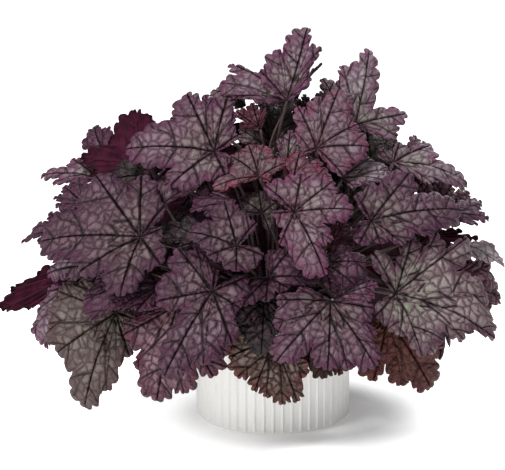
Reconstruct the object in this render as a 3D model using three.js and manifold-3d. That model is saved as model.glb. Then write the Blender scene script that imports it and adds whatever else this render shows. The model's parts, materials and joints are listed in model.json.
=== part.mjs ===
// A heuchera in a ribbed ceramic pot. Millimetres, +Z up, origin at the bottom centre of the pot's foot.
// The front of the plant faces -Y. Every leaf is a lobed, toothed blade with its stalk, grown from the crown.
import * as THREE from "three";
import { mergeVertices } from "three/addons/utils/BufferGeometryUtils.js";
import Module from "manifold-3d";

const wasm = await Module();
wasm.setup();

const degree = Math.PI / 180;
const seat = 0.3;
const sliver = 0.02;
const mergeDistance = 1e-4;

const pot = {
  radius: 80,
  height: 135,
  wall: 5,
  floor: 8,
  flutes: 52,
  fluteDepth: 0.9,
  ridgeShare: 0.14,
  footRadius: 77,
  footHeight: 3,
  sides: 48,
  overlap: 1,
};
const soil = { top: 120 };
const crown = {
  radius: 34,
  rise: 26,
  sides: 24,
  rings: 4,
  lowest: 78 * degree,
  leanShare: 0.8,
  searchRings: 16,
  searchTurns: 8,
  searchStep: 4 * degree,
  leastSine: 0.3,
};
const stalk = {
  radius: 1.9,
  sides: 3,
  steps: 4,
  room: 0.45,
  spacing: 5.6,
  collar: 7,
  neck: 9,
  neckClear: 2,
  neckRoom: 13,
  arrivalAlong: 0.6,
  arrivalUp: 0.8,
  risingShare: 0.3,
  arrivingShare: 0.25,
  attempts: 1200,
  swing: 1.6,
  sway: 110,
  siblingRise: 0.7,
  siblingStep: 1.1,
  siblingTurn: 1.9,
};
const blade = {
  thickness: 0.9,
  testThickness: 1.7,
  veinPoint: 0.52,
  sinusDepth: 0.8,
  closeSinusDepth: 0.9,
  wideAngle: 46 * degree,
  openSinusDepth: 0.66,
  openAngle: 16 * degree,
  shoulder: 0.3,
  shoulderLean: 3 * degree,
  tipWidth: 0.16,
  lobeBreadth: 0.45,
  cleftBreadth: 0.18,
  tipBluntness: 0.93,
  plainLobe: 72,
  cleftReach: 0.16,
  cleftOpening: 30 * degree,
  cleftMargin: 3 * degree,
  sectorMargin: 0.8 * degree,
  tooth: 0.055,
  teeth: 1.5,
  toothLevel: 0.4,
  toothRise: 1.5,
  toothEnd: 6,
  edgeShares: [1 / 3, 2 / 3],
  plainShares: [0.5],
  rearPlainShare: 1.1,
};
// How far a leaf moves at a time until it lies clear of those beneath it, and how often at most.
const layer = { step: 1.5, most: 60 };

// The front leaves are set out in a front elevation: a plane square to the line of sight of a viewer
// who stands this far off and looks this much down. It holds [right, up] of its centre point.
const elevation = { centre: new THREE.Vector3(-21, 0, 191), distance: 2200, tilt: 12 * degree };
const towardsViewer = new THREE.Vector3(0, -Math.cos(elevation.tilt), Math.sin(elevation.tilt));
const upwards = new THREE.Vector3(0, Math.sin(elevation.tilt), Math.cos(elevation.tilt));
const rightwards = new THREE.Vector3(1, 0, 0);
const eye = elevation.centre.clone().addScaledVector(towardsViewer, elevation.distance);

// Front leaves, from the rearmost to the foremost. at: [right, up] of the point where the stalk meets the
// blade, and its y. facing: yaw to the right and pitch upwards of the blade's face, in degrees. tips: the
// ends of the lobes in turn, from one side of the cleft where the stalk comes in round to the other.
// sinuses: the notches between the lobes, where they don't lie at the common depth. turned: the under
// surface is the one that is seen.
const frontLeaves = [
  { node: "leaf_group_top_rear", tone: "grey", at: [90, 123, 40], facing: [15, 30],
    tips: [[68, 125], [64, 143], [72, 161], [95, 156], [109, 141]] },
  { node: "leaf_group_top_rear", tone: "purple", at: [61, 114, 30], facing: [-5, 30],
    tips: [[39, 123], [45, 138], [53, 145], [64, 140], [78, 127]] },
  { node: "leaf_group_left_rear", tone: "taupe", at: [-97, 85, 15], facing: [-20, 35],
    tips: [[-118, 108], [-106, 120], [-93, 114], [-89, 103], [-79, 92]] },
  { node: "leaf_group_left_rear", tone: "purple", at: [-147, 75, 25], facing: [-30, 35],
    tips: [[-172, 95], [-164, 113], [-152, 108], [-136, 98]],
    sinuses: [[-169, 105], [-158, 112], [-143, 104]] },
  { node: "leaf_group_right_rear", tone: "mauve", at: [157, 69, 15], facing: [25, 40],
    tips: [[140, 77], [149, 89], [167, 102], [184, 94], [183, 79]] },
  { node: "leaf_group_top_rear", tone: "grey", at: [-7, 133, 15], facing: [-20, 45],
    tips: [[-17, 127], [-34, 130], [-48, 136], [-43, 150], [-29, 156]] },
  { node: "leaf_group_left_rear", tone: "taupe", at: [-48, 108, 0], facing: [-20, 40],
    tips: [[-77, 109], [-85, 120], [-71, 127], [-54, 131]] },
  { node: "leaf_group_left_rear", tone: "grey", at: [12, 92, 10], facing: [-10, 35],
    tips: [[-15, 100], [-14, 110], [-3, 116], [10, 118]] },
  { node: "leaf_group_top_rear", tone: "under", at: [46, 140, 34], facing: [75, -37], turned: true,
    tips: [[75, 173], [68, 167], [61, 160], [65, 170], [57, 163]] },
  { node: "leaf_top", tone: "mauve", at: [35, 136, 0], facing: [12, 30],
    tips: [[6, 163], [25, 185], [56, 211], [68, 186], [57, 158]],
    sinuses: [[13, 170], [29, 182], [56, 188], [56, 164]] },
  { node: "leaf_top_left", tone: "mauve", at: [38, 138, -12], facing: [-15, 50],
    tips: [[28, 131], [4, 131], [-19, 138], [-34, 156], [-23, 175], [10, 161]],
    sinuses: [[16, 132], [-10, 135], [-22, 142], [-15, 161], [3, 163]] },
  { node: "leaf_hollow", tone: "shade", at: [22, 90, -15], facing: [-5, 50],
    tips: [[-3, 127], [13, 140], [43, 143], [48, 114], [61, 79]] },
  { node: "leaf_top_right", tone: "greypink", at: [105, 113, -12], facing: [18, 32],
    tips: [[84, 154], [91, 172], [119, 190], [155, 120], [146, 98]],
    sinuses: [[88, 161], [107, 174], [122, 127], [145, 109]] },
  { node: "leaf_left_high", tone: "mauve", at: [-159, 58, -5], facing: [-30, 55],
    tips: [[-186, 46], [-204, 49], [-217, 58], [-184, 74], [-169, 77]] },
  { node: "leaf_left_under", tone: "under", at: [-120, 77, -25], facing: [-25, 25], turned: true,
    tips: [[-109, 125], [-124, 129], [-149, 99], [-176, 80], [-166, 65]],
    sinuses: [[-116, 126], [-140, 117], [-159, 91], [-172, 72]] },
  { node: "leaf_group_right_rear", tone: "grey", at: [143, 72, -22], facing: [20, 40],
    tips: [[128, 81], [130, 91], [144, 93], [155, 80]] },
  { node: "leaf_right_high", tone: "greypink", at: [145, 74, -34], facing: [28, 55],
    tips: [[149, 90], [181, 86], [221, 52], [181, 48], [161, 57]],
    sinuses: [[157, 83], [184, 71], [200, 49], [170, 52]] },
  { node: "leaf_group_right_rear", tone: "maroon", at: [185, 20, -35], facing: [40, 35],
    tips: [[162, 55], [200, 50], [219, 41], [235, 32], [224, 15]] },
  { node: "leaf_left_mid_small", tone: "purple", at: [-162, 22, -40], facing: [-35, 40],
    tips: [[-182, 13], [-198, 26], [-201, 36], [-194, 50], [-176, 57]] },
  { node: "leaf_left_mid_small", tone: "purple", at: [-182, 3, -48], facing: [-40, 45],
    tips: [[-217, -12], [-238, -8], [-226, 7], [-206, 18], [-188, 22]] },
  { node: "leaf_left_inner", tone: "olive", at: [-104, 59, -45], facing: [-25, 40],
    tips: [[-124, 42], [-146, 56], [-140, 70], [-118, 80], [-87, 70]],
    sinuses: [[-135, 48], [-145, 63], [-129, 77], [-102, 77]] },
  { node: "leaf_left_inner", tone: "mauve", at: [-90, 32, -60], facing: [-15, 35],
    tips: [[-112, 48], [-108, 71], [-87, 59], [-77, 48], [-54, 52]] },
  { node: "leaf_right_mid_low", tone: "pale", at: [218, -11, -35], facing: [40, 50],
    tips: [[247, -13], [260, -30], [247, -28], [231, -28]],
    sinuses: [[254, -21], [254, -30], [240, -29]] },
  { node: "leaf_right_mid_low", tone: "mauve", at: [193, 20, -62], facing: [35, 40],
    tips: [[234, 30], [245, 18], [230, 8], [211, 8]] },
  { node: "leaf_right_maroon", tone: "maroon", at: [193, -53, -62], facing: [35, 25],
    tips: [[220, -26], [242, -31], [257, -63], [244, -76], [209, -70]],
    sinuses: [[231, -27], [252, -46], [253, -71], [226, -74]] },
  { node: "leaf_right_maroon", tone: "under", at: [181, -1, -72], facing: [30, 20], turned: true,
    tips: [[166, -18], [196, -14], [209, -13], [230, -4], [216, 6], [193, 8]] },
  { node: "leaf_far_left", tone: "under", at: [-181, -34, -50], facing: [-30, 10], turned: true,
    tips: [[-225, -42], [-248, -56], [-256, -76], [-235, -76], [-213, -67]],
    sinuses: [[-237, -48], [-254, -66], [-247, -78], [-224, -72]] },
  { node: "leaf_left_low", tone: "mauve", at: [-180, -53, -62], facing: [-40, 15],
    tips: [[-196, -106], [-216, -116], [-226, -100], [-216, -79], [-206, -59]],
    sinuses: [[-206, -107], [-222, -109], [-218, -86], [-210, -67]] },
  { node: "leaf_left_low", tone: "mauve", at: [-151, -30, -60], facing: [-40, 30],
    tips: [[-165, -67], [-186, -59], [-210, -40], [-204, -22], [-167, -13]] },
  { node: "leaf_centre_small", tone: "grey", at: [36, 74, -52], facing: [0, 35],
    tips: [[24, 82], [26, 97], [39, 108], [49, 100], [52, 86]] },
  { node: "leaf_centre_small", tone: "maroon", at: [8, 108, -22], facing: [-10, 25],
    tips: [[-13, 113], [-17, 127], [0, 135], [12, 131]] },
  { node: "leaf_upper_right", tone: "rose", at: [66, 89, -62], facing: [5, 36],
    tips: [[52, 82], [46, 129], [68, 140], [89, 150], [107, 111], [118, 88], [92, 59]],
    sinuses: [[46, 108], [56, 123], [78, 143], [99, 120], [107, 102], [99, 71]] },
  { node: "leaf_upper_left", tone: "lilac", at: [-39, 85, -62], facing: [-12, 38],
    tips: [[-21, 74], [-27, 59], [-82, 47], [-129, 86], [-68, 146], [-46, 139], [-24, 136], [-14, 118],
      [-14, 98]],
    sinuses: [[-25, 67], [-47, 52], [-81, 66], [-77, 113], [-51, 133], [-39, 130], [-18, 126],
      [-19, 108]] },
  { node: "leaf_right_inner", tone: "greypink", at: [92, 58, -68], facing: [12, 48],
    tips: [[121, 77], [140, 65], [144, 52], [124, 47], [104, 45]],
    sinuses: [[136, 71], [143, 59], [130, 51], [112, 50]] },
  { node: "leaf_young_red", tone: "youngred", at: [42, 54, -82], facing: [0, 48],
    tips: [[27, 76], [49, 86], [66, 78], [81, 60], [81, 39]] },
  { node: "leaf_young_grey", tone: "young", at: [7, 59, -86], facing: [-5, 48],
    tips: [[-40, 47], [-23, 79], [-4, 90], [12, 91], [34, 70], [18, 52]] },
  { node: "leaf_shadow_left", tone: "olive", at: [-49, -8, -108], facing: [-15, 50],
    tips: [[-74, -16], [-91, -8], [-92, 11], [-68, 15]] },
  { node: "leaf_shadow_left", tone: "purple", at: [-17, 30, -104], facing: [-10, 45],
    tips: [[-48, 18], [-64, 24], [-61, 37], [-42, 40]] },
  { node: "leaf_shadow_right", tone: "shade", at: [10, 22, -98], facing: [-5, 35],
    tips: [[-11, 22], [-13, 38], [6, 46], [24, 32], [18, 3]] },
  { node: "leaf_shadow_right", tone: "maroon", at: [77, -19, -112], facing: [5, 35],
    tips: [[86, 11], [95, 14], [106, 6], [104, -10]] },
  { node: "leaf_left_large", tone: "greylilac", at: [-115, -3, -104], facing: [-22, 38],
    tips: [[-91, 3], [-92, -34], [-134, -65], [-175, -42], [-220, -6], [-159, 58], [-111, 57], [-88, 26]],
    sinuses: [[-94, -9], [-108, -38], [-149, -39], [-183, -28], [-178, 24], [-125, 42], [-97, 38]] },
  { node: "leaf_right_middle", tone: "lilac", at: [122, 14, -100], facing: [20, 42],
    tips: [[104, 38], [159, 59], [215, 27], [184, -5], [153, -14], [129, -12], [108, -13], [104, 5]],
    sinuses: [[127, 46], [163, 38], [189, 6], [163, -2], [138, -8], [122, -7], [102, -5]] },
  { node: "leaf_left_hanging", tone: "taupe", at: [-139, -79, -90], facing: [-22, 8],
    tips: [[-115, -86], [-122, -123], [-146, -158], [-174, -178], [-197, -120], [-206, -90],
      [-195, -57], [-172, -47]],
    sinuses: [[-122, -102], [-133, -134], [-155, -163], [-182, -139], [-208, -104], [-204, -73],
      [-184, -50]] },
  { node: "leaf_left_purple", tone: "purple", at: [-89, -50, -116], facing: [-15, 48],
    tips: [[-117, -83], [-138, -79], [-166, -88], [-175, -65], [-161, -46]],
    sinuses: [[-126, -76], [-148, -82], [-172, -75], [-172, -55]] },
  { node: "leaf_right_brown", tone: "redbrown", at: [138, -83, -100], facing: [15, 2],
    tips: [[194, -112], [185, -159], [152, -154], [121, -148], [98, -120]],
    sinuses: [[187, -127], [160, -149], [134, -130], [109, -133]] },
  { node: "leaf_front_slate", tone: "slate", at: [12, -67, -138], facing: [0, 18],
    tips: [[36, -75], [27, -101], [9, -123], [-12, -103], [-21, -78]],
    sinuses: [[32, -88], [23, -113], [-5, -106], [-17, -91]] },
  { node: "leaf_front_pink", tone: "pink", at: [-77, -73, -124], facing: [-10, 12],
    tips: [[-24, -120], [-39, -145], [-71, -163], [-99, -171], [-120, -134], [-130, -102], [-110, -79]],
    sinuses: [[-29, -127], [-56, -136], [-82, -158], [-115, -143], [-113, -117], [-125, -88]] },
  { node: "leaf_front_brown", tone: "brown", at: [65, -96, -104], facing: [5, 8],
    tips: [[94, -120], [91, -144], [74, -147], [54, -135], [45, -112]],
    sinuses: [[97, -135], [82, -140], [61, -140], [48, -122]] },
  { node: "leaf_front_bronze", tone: "bronze", at: [22, -105, -112], facing: [0, 8],
    tips: [[56, -143], [46, -171], [31, -174], [14, -166], [2, -160], [-16, -146], [-24, -124], [-17, -90]],
    sinuses: [[51, -160], [39, -166], [20, -165], [7, -156], [-2, -144], [-22, -130], [-21, -106]] },
  { node: "leaf_front_vivid", tone: "vivid", at: [16, -45, -140], facing: [0, 42],
    tips: [[19, -18], [41, -15], [68, -46], [37, -58], [14, -70], [-10, -73], [-7, -50]],
    sinuses: [[30, -18], [55, -28], [46, -54], [23, -60], [7, -67], [-10, -61]] },
  { node: "leaf_front_magenta", tone: "vivid", at: [72, -29, -136], facing: [10, 35],
    tips: [[100, -14], [117, -30], [104, -52], [80, -59]],
    sinuses: [[111, -20], [115, -41], [88, -50]] },
  { node: "leaf_centre", tone: "greylilac", at: [-16, -12, -134], facing: [-5, 42],
    tips: [[11, -25], [-16, -41], [-45, -26], [-66, 0], [-30, 36], [4, 9]],
    sinuses: [[-2, -38], [-31, -30], [-52, -14], [-40, 11], [-13, 20]] },
  { node: "leaf_centre_right", tone: "pinklilac", at: [43, 23, -124], facing: [8, 36],
    tips: [[12, 46], [49, 58], [81, 49], [102, 22], [80, -9], [74, -43], [27, -14], [20, 18]],
    sinuses: [[32, 52], [65, 55], [83, 37], [70, 9], [68, -13], [40, -25], [31, 4]] },
  { node: "leaf_right_large", tone: "palelilac", at: [147, -61, -122], facing: [24, 34],
    tips: [[118, -24], [157, -8], [181, -5], [218, -6], [240, -67], [248, -108], [211, -113],
      [167, -130], [144, -109], [121, -89]],
    sinuses: [[143, -38], [165, -26], [189, -23], [203, -43], [246, -89], [222, -102], [189, -104],
      [152, -110], [134, -97]] },
  { node: "leaf_front_fold", tone: "pinklilac", at: [84, -66, -150], facing: [12, 45],
    tips: [[102, -45], [117, -43], [128, -52], [125, -64]] },
  { node: "leaf_front_left", tone: "purplelilac", at: [-41, -59, -148], facing: [-8, 36],
    tips: [[-4, -46], [-13, -78], [-20, -114], [-49, -136], [-90, -147], [-98, -72], [-75, -18],
      [-56, -16], [-37, -36]],
    sinuses: [[-10, -68], [-19, -89], [-32, -116], [-60, -130], [-71, -78], [-81, -41], [-64, -26],
      [-46, -29]] },
  { node: "leaf_front_right", tone: "lilac", at: [80, -69, -154], facing: [8, 36],
    tips: [[123, -79], [126, -103], [125, -138], [97, -139], [77, -139], [25, -130], [23, -94],
      [25, -70], [46, -59]],
    sinuses: [[116, -92], [121, -112], [106, -136], [89, -133], [60, -118], [29, -101], [25, -86],
      [32, -64]] },
  { node: "leaf_inner_right", tone: "shade", at: [123, 65, 40], facing: [15, 45],
    tips: [[92, 69], [100, 98], [112, 120], [142, 104], [152, 71]] },
  { node: "leaf_inner_right", tone: "shade", at: [93, 15, 22], facing: [5, 40],
    tips: [[61, 13], [70, 48], [93, 67], [117, 46], [123, 11]] },
];

// Rear leaves, in rings from the lowest to the highest, two leaves to a node.
const rearRings = [
  { count: 9, height: 128, radius: 150, widening: 1.06, sweep: 216, pitch: 14, reach: 96, rearward: 0 },
  { count: 7, height: 192, radius: 140, widening: 1.12, sweep: 192, pitch: 30, reach: 98, rearward: 0 },
  { count: 6, height: 240, radius: 100, widening: 1.08, sweep: 176, pitch: 42, reach: 94, rearward: 1 },
  { count: 3, height: 282, radius: 52, widening: 1.1, sweep: 160, pitch: 56, reach: 78, rearward: 1 },
  { count: 3, height: 226, radius: 92, widening: 1, sweep: 300, pitch: 34, reach: 86, rearward: 0 },
];
// How far the rear leaves stray from their rings, in degrees, millimetres and shares.
const stray = {
  azimuth: 5,
  place: 8,
  yaw: 10,
  pitch: 7,
  lean: 0.3,
  turn: 0.5,
  reach: [0.88, 1.1],
  lobeAngle: 0.1,
  lobeReach: [0.9, 1.08],
};
const rearLobes = [
  { angle: -112, reach: 0.64 },
  { angle: -50, reach: 0.8 },
  { angle: 0, reach: 1 },
  { angle: 50, reach: 0.8 },
  { angle: 112, reach: 0.64 },
];

const rearTones = ["lilac", "mauve", "purple", "greylilac"];
// The ranges from which each blade's own relief is drawn.
const relief = { arch: [0.07, 0.13], ruffle: [0.03, 0.055], waves: [3, 6], cup: [-0.06, 0.1] };
const seeds = { frontStalk: 17, frontRelief: 11, ring: 500, rear: 900 };

const tones = {
  lilac: 0x8f7488,
  greylilac: 0x8c7883,
  purplelilac: 0x7d5c74,
  palelilac: 0x9a8b93,
  pinklilac: 0x99798a,
  mauve: 0x80667a,
  purple: 0x6d4c66,
  vivid: 0x70456a,
  grey: 0x8a7f82,
  greypink: 0x8f7d85,
  rose: 0x8f6a78,
  pink: 0x8f6173,
  young: 0x957077,
  youngred: 0x8c4f5c,
  olive: 0x6a625b,
  shade: 0x4f443f,
  slate: 0x55474f,
  taupe: 0x8b827d,
  pale: 0xa39c9d,
  bronze: 0x75605a,
  brown: 0x4d2c22,
  redbrown: 0x6b3a33,
  maroon: 0x5c2e3c,
  under: 0x4a1a2e,
};

const finish = {
  pot: { color: 0xe9e9e6, roughness: 0.55 },
  soil: { color: 0x33261d, roughness: 1 },
  crown: { color: 0x4a3328, roughness: 0.95 },
  leafRoughness: 0.6,
};

// The same numbers each run: a Park-Miller generator.
const generator = { modulus: 2147483647, factor: 16807, spread: 7919 };

function drawsFrom(seed) {
  let state = (seed * generator.spread) % generator.modulus;
  return (low, high) => {
    state = (state * generator.factor) % generator.modulus;
    return low + (high - low) * (state / generator.modulus);
  };
}

// ---- solids

function solidFrom(geometry) {
  geometry.deleteAttribute("normal");
  geometry.deleteAttribute("uv");
  const merged = mergeVertices(geometry, mergeDistance);
  return new wasm.Manifold(
    new wasm.Mesh({
      numProp: 3,
      vertProperties: new Float32Array(merged.attributes.position.array),
      triVerts: new Uint32Array(merged.index.array),
    }),
  );
}

function meshFrom(solid, name, color, roughness) {
  const { vertProperties, triVerts } = solid.getMesh();
  const geometry = new THREE.BufferGeometry();
  geometry.setAttribute("position", new THREE.BufferAttribute(vertProperties, 3));
  geometry.setIndex(new THREE.BufferAttribute(triVerts, 1));
  geometry.computeVertexNormals();
  const material = new THREE.MeshStandardMaterial({ color, roughness, metalness: 0 });
  const mesh = new THREE.Mesh(geometry, material);
  mesh.name = name;
  return mesh;
}

// An upright cylinder on the pot's axis.
function cylinder(radius, bottom, top, sides) {
  const geometry = new THREE.CylinderGeometry(radius, radius, top - bottom, sides);
  geometry.rotateX(Math.PI / 2);
  geometry.translate(0, 0, (top + bottom) / 2);
  return solidFrom(geometry);
}

function potSolid() {
  const outline = new THREE.Shape();
  const pitch = (2 * Math.PI) / pot.flutes;
  const corners = [];
  for (let flute = 0; flute < pot.flutes; flute++) {
    const crest = flute * pitch;
    corners.push([crest, pot.radius]);
    corners.push([crest + pot.ridgeShare * pitch, pot.radius - pot.fluteDepth]);
    corners.push([crest + (1 - pot.ridgeShare) * pitch, pot.radius - pot.fluteDepth]);
  }
  const points = corners.map(([angle, r]) => new THREE.Vector2(r * Math.cos(angle), r * Math.sin(angle)));
  outline.setFromPoints(points);
  const depth = pot.height - pot.footHeight;
  const wall = new THREE.ExtrudeGeometry(outline, { depth, bevelEnabled: false });
  wall.translate(0, 0, pot.footHeight);
  const foot = cylinder(pot.footRadius, 0, pot.footHeight + pot.overlap, pot.flutes);
  const inside = cylinder(pot.radius - pot.wall, pot.floor, pot.height + pot.overlap, pot.sides);
  return solidFrom(wall).add(foot).subtract(inside);
}

function soilSolid() {
  return cylinder(pot.radius - pot.wall - seat, pot.floor + seat, soil.top, pot.sides);
}

const crownBase = soil.top + seat;

function crownSolid() {
  const profile = [new THREE.Vector2(0, 0)];
  for (let ring = 0; ring < crown.rings; ring++) {
    const angle = (ring / crown.rings) * (Math.PI / 2);
    profile.push(new THREE.Vector2(crown.radius * Math.cos(angle), crown.rise * Math.sin(angle)));
  }
  profile.push(new THREE.Vector2(0, crown.rise));
  const geometry = new THREE.LatheGeometry(profile, crown.sides);
  geometry.rotateX(Math.PI / 2);
  geometry.translate(0, 0, crownBase);
  return solidFrom(geometry);
}

// ---- places in the front elevation

function elevationRay(right, up) {
  const point = elevation.centre.clone().addScaledVector(rightwards, right).addScaledVector(upwards, up);
  return point.sub(eye).normalize();
}

function pointAtDepth(right, up, y) {
  const ray = elevationRay(right, up);
  return eye.clone().addScaledVector(ray, (y - eye.y) / ray.y);
}

function pointOnPlane(right, up, origin, normal) {
  const ray = elevationRay(right, up);
  return eye.clone().addScaledVector(ray, origin.clone().sub(eye).dot(normal) / ray.dot(normal));
}

function faceDirection(yaw, pitch) {
  return new THREE.Vector3(
    Math.sin(yaw * degree) * Math.cos(pitch * degree),
    -Math.cos(yaw * degree) * Math.cos(pitch * degree),
    Math.sin(pitch * degree),
  );
}

const outwardSteps = Array.from({ length: layer.most + 1 }, (_, step) => step);
const nearestSteps = outwardSteps.flatMap((step) => (step ? [step, -step] : [0]));

// ---- leaf plans: where a blade lies, and its lobes as angles and reaches from the stalk's end

// Polar points with their angles raised by whole turns where needed, so that each follows the one before.
function inTurn(points) {
  let last = -Infinity;
  return points.map(({ angle, reach }) => {
    const turns = Math.max(0, Math.ceil((last - angle) / (2 * Math.PI)));
    last = angle + turns * 2 * Math.PI;
    return polar(last, reach);
  });
}

function reliefDraws(seed) {
  const draw = drawsFrom(seed);
  return {
    arch: draw(...relief.arch),
    ruffle: draw(...relief.ruffle),
    waves: Math.floor(draw(...relief.waves)),
    phase: draw(0, 2 * Math.PI),
    cup: draw(...relief.cup),
  };
}

function frontPlan(row, index) {
  const junction = pointAtDepth(row.at[0], row.at[1], row.at[2]);
  const face = faceDirection(...row.facing);
  const fromJunction = ([right, up]) => pointOnPlane(right, up, junction, face).sub(junction);
  const corners = row.tips.map(fromJunction);
  const longest = corners.reduce((best, corner) => (corner.length() > best.length() ? corner : best));
  const normal = row.turned ? face.clone().negate() : face;
  const along = longest.clone().normalize();
  const across = along.clone().cross(normal);
  const asPolar = (corner) => polar(Math.atan2(corner.dot(across), corner.dot(along)), corner.length());
  const lobes = inTurn(corners.map(asPolar));
  const given = (row.sinuses ?? []).map(fromJunction).map(asPolar);
  return {
    node: row.node,
    tone: row.tone,
    junction,
    normal,
    along,
    across,
    away: towardsViewer,
    steps: outwardSteps,
    reach: longest.length(),
    lobes,
    sinuses: given.length ? given.map((sinus, i) => inTurn([lobes[i], sinus])[1]) : sinusesBetween(lobes),
    seed: index + seeds.frontStalk,
    plainLobe: blade.plainLobe,
    ...reliefDraws(index + seeds.frontRelief),
  };
}

// One leaf of a ring, hanging outwards and down the slope of the ring.
function rearPlan(ring, place, number, draw) {
  const azimuth = ((place + 0.5) / ring.count - 0.5) * ring.sweep + draw(-stray.azimuth, stray.azimuth);
  const outward = faceDirection(180 - azimuth, 0);
  const yaw = 180 - azimuth + draw(-stray.yaw, stray.yaw);
  const normal = faceDirection(yaw, ring.pitch + draw(-stray.pitch, stray.pitch));
  const junction = outward.clone().multiplyScalar(ring.radius + draw(-stray.place, stray.place));
  junction.x *= ring.widening;
  junction.z = ring.height + draw(-stray.place, stray.place);
  const down = new THREE.Vector3(0, 0, -1).addScaledVector(outward, stray.lean);
  const along = down.addScaledVector(normal, -down.dot(normal)).normalize();
  along.applyAxisAngle(normal, draw(-stray.turn, stray.turn));
  const reach = ring.reach * draw(...stray.reach);
  const lobes = rearLobes.map((lobe) => ({
    angle: lobe.angle * degree + (lobe.angle ? draw(-stray.lobeAngle, stray.lobeAngle) : 0),
    reach: lobe.reach * reach * (lobe.angle ? draw(...stray.lobeReach) : 1),
  }));
  return {
    node: "leaf_rear_" + String(Math.floor(number / 2) + 1).padStart(2, "0"),
    tone: rearTones[Math.floor(draw(0, rearTones.length))],
    junction,
    normal,
    along,
    across: along.clone().cross(normal),
    away: outward.addScaledVector(towardsViewer, -ring.rearward).normalize(),
    steps: nearestSteps,
    reach,
    lobes,
    sinuses: sinusesBetween(lobes),
    seed: seeds.rear + number,
    plainLobe: blade.rearPlainShare * reach,
    ...reliefDraws(seeds.rear + number),
  };
}

// Every other ring runs back the other way, so that the two leaves of a node always stand side by side.
function rearPlans() {
  const plans = [];
  rearRings.forEach((ring, level) => {
    const draw = drawsFrom(seeds.ring + level);
    for (let turn = 0; turn < ring.count; turn++) {
      const place = level % 2 ? ring.count - 1 - turn : turn;
      plans.push(rearPlan(ring, place, plans.length, draw));
    }
  });
  return plans;
}

// ---- blades

function polar(angle, reach) {
  return { angle, reach };
}

function flat({ angle, reach }) {
  return new THREE.Vector2(reach * Math.sin(angle), reach * Math.cos(angle));
}

// From 0 at a lobe of common width to 1 where the sinus lies far from the lobe's vein.
function openness(halfAngle) {
  return THREE.MathUtils.clamp((halfAngle - blade.wideAngle / 2) / blade.openAngle, 0, 1);
}

// The low points of the margin between lobes: deeper between lobes that stand wider apart.
function sinusesBetween(lobes) {
  return lobes.slice(1).map((right, i) => {
    const left = lobes[i];
    const spread = Math.min(1, (right.angle - left.angle) / blade.wideAngle);
    const common = THREE.MathUtils.lerp(blade.closeSinusDepth, blade.sinusDepth, spread);
    const open = openness((right.angle - left.angle) / 2);
    const depth = THREE.MathUtils.lerp(common, blade.openSinusDepth, open);
    return polar((left.angle + right.angle) / 2, depth * Math.min(left.reach, right.reach));
  });
}

// The margin's two points beside the cleft, and how broad the lobes are there.
function cleftPoints(lobes) {
  const first = lobes[0];
  const last = lobes[lobes.length - 1];
  const gap = 2 * Math.PI - (last.angle - first.angle);
  const opening = Math.min(blade.cleftOpening, gap / 2 - blade.cleftMargin);
  const beside = (lobe, turn) => ({
    ...polar(lobe.angle + turn, blade.cleftReach * lobe.reach),
    breadth: blade.cleftBreadth * lobe.reach,
  });
  return [beside(first, -opening), beside(last, opening)];
}

// A point of the margin from a sinus (share 0) to the lobe's tip (share 1), with its teeth.
function marginPoint(sinus, tip, share) {
  const start = flat(sinus);
  const end = flat(tip);
  const chord = end.clone().sub(start);
  const side = Math.sign(sinus.angle - tip.angle);
  const outside = new THREE.Vector2(chord.y, -chord.x).normalize().multiplyScalar(side);
  const halfSector = Math.abs(sinus.angle - tip.angle);
  const lean = side * Math.min(halfSector, blade.shoulderLean);
  const breadth = sinus.breadth ?? blade.lobeBreadth * sinus.reach * Math.sin(halfSector);
  const width = Math.min(blade.tipWidth * tip.reach, breadth);
  const edge = new THREE.CubicBezierCurve(
    start,
    start.clone().addScaledVector(flat(polar(tip.angle + lean, 1)), blade.shoulder * chord.length()),
    end.clone().multiplyScalar(blade.tipBluntness).add(flat(polar(tip.angle + (side * Math.PI) / 2, width))),
    end,
  );
  const point = edge.getPoint(share);
  const tooth = Math.abs(Math.sin(blade.teeth * Math.PI * share)) - blade.toothLevel;
  const rise = Math.sin((Math.PI / 2) * Math.min(1, share * blade.toothRise));
  const fade = rise * (1 - share ** blade.toothEnd);
  point.addScaledVector(outside, blade.tooth * tip.reach * tooth * fade);
  return insideSector(point, sinus.angle, tip.angle);
}

// Keeps a margin point on its own lobe's side of the line from the stalk to the sinus.
function insideSector(point, sinusAngle, tipAngle) {
  const reach = point.length();
  const turn = Math.atan2(point.x, point.y) - tipAngle;
  const fromTip = Math.atan2(Math.sin(turn), Math.cos(turn));
  const limit = Math.abs(sinusAngle - tipAngle) - blade.sectorMargin;
  return flat(polar(tipAngle + THREE.MathUtils.clamp(fromTip, -limit, limit), reach));
}

// Height of the blade's middle surface over its plane.
function heightAt(plan, { x, y }) {
  const share = Math.hypot(x, y) / plan.reach;
  const arch = 4 * plan.arch * share * (1 - share);
  const ruffle = plan.ruffle * share * share * Math.sin(plan.waves * Math.atan2(x, y) + plan.phase);
  const cup = plan.cup * (x / plan.reach) ** 2;
  return plan.reach * (arch + ruffle + cup);
}

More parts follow.
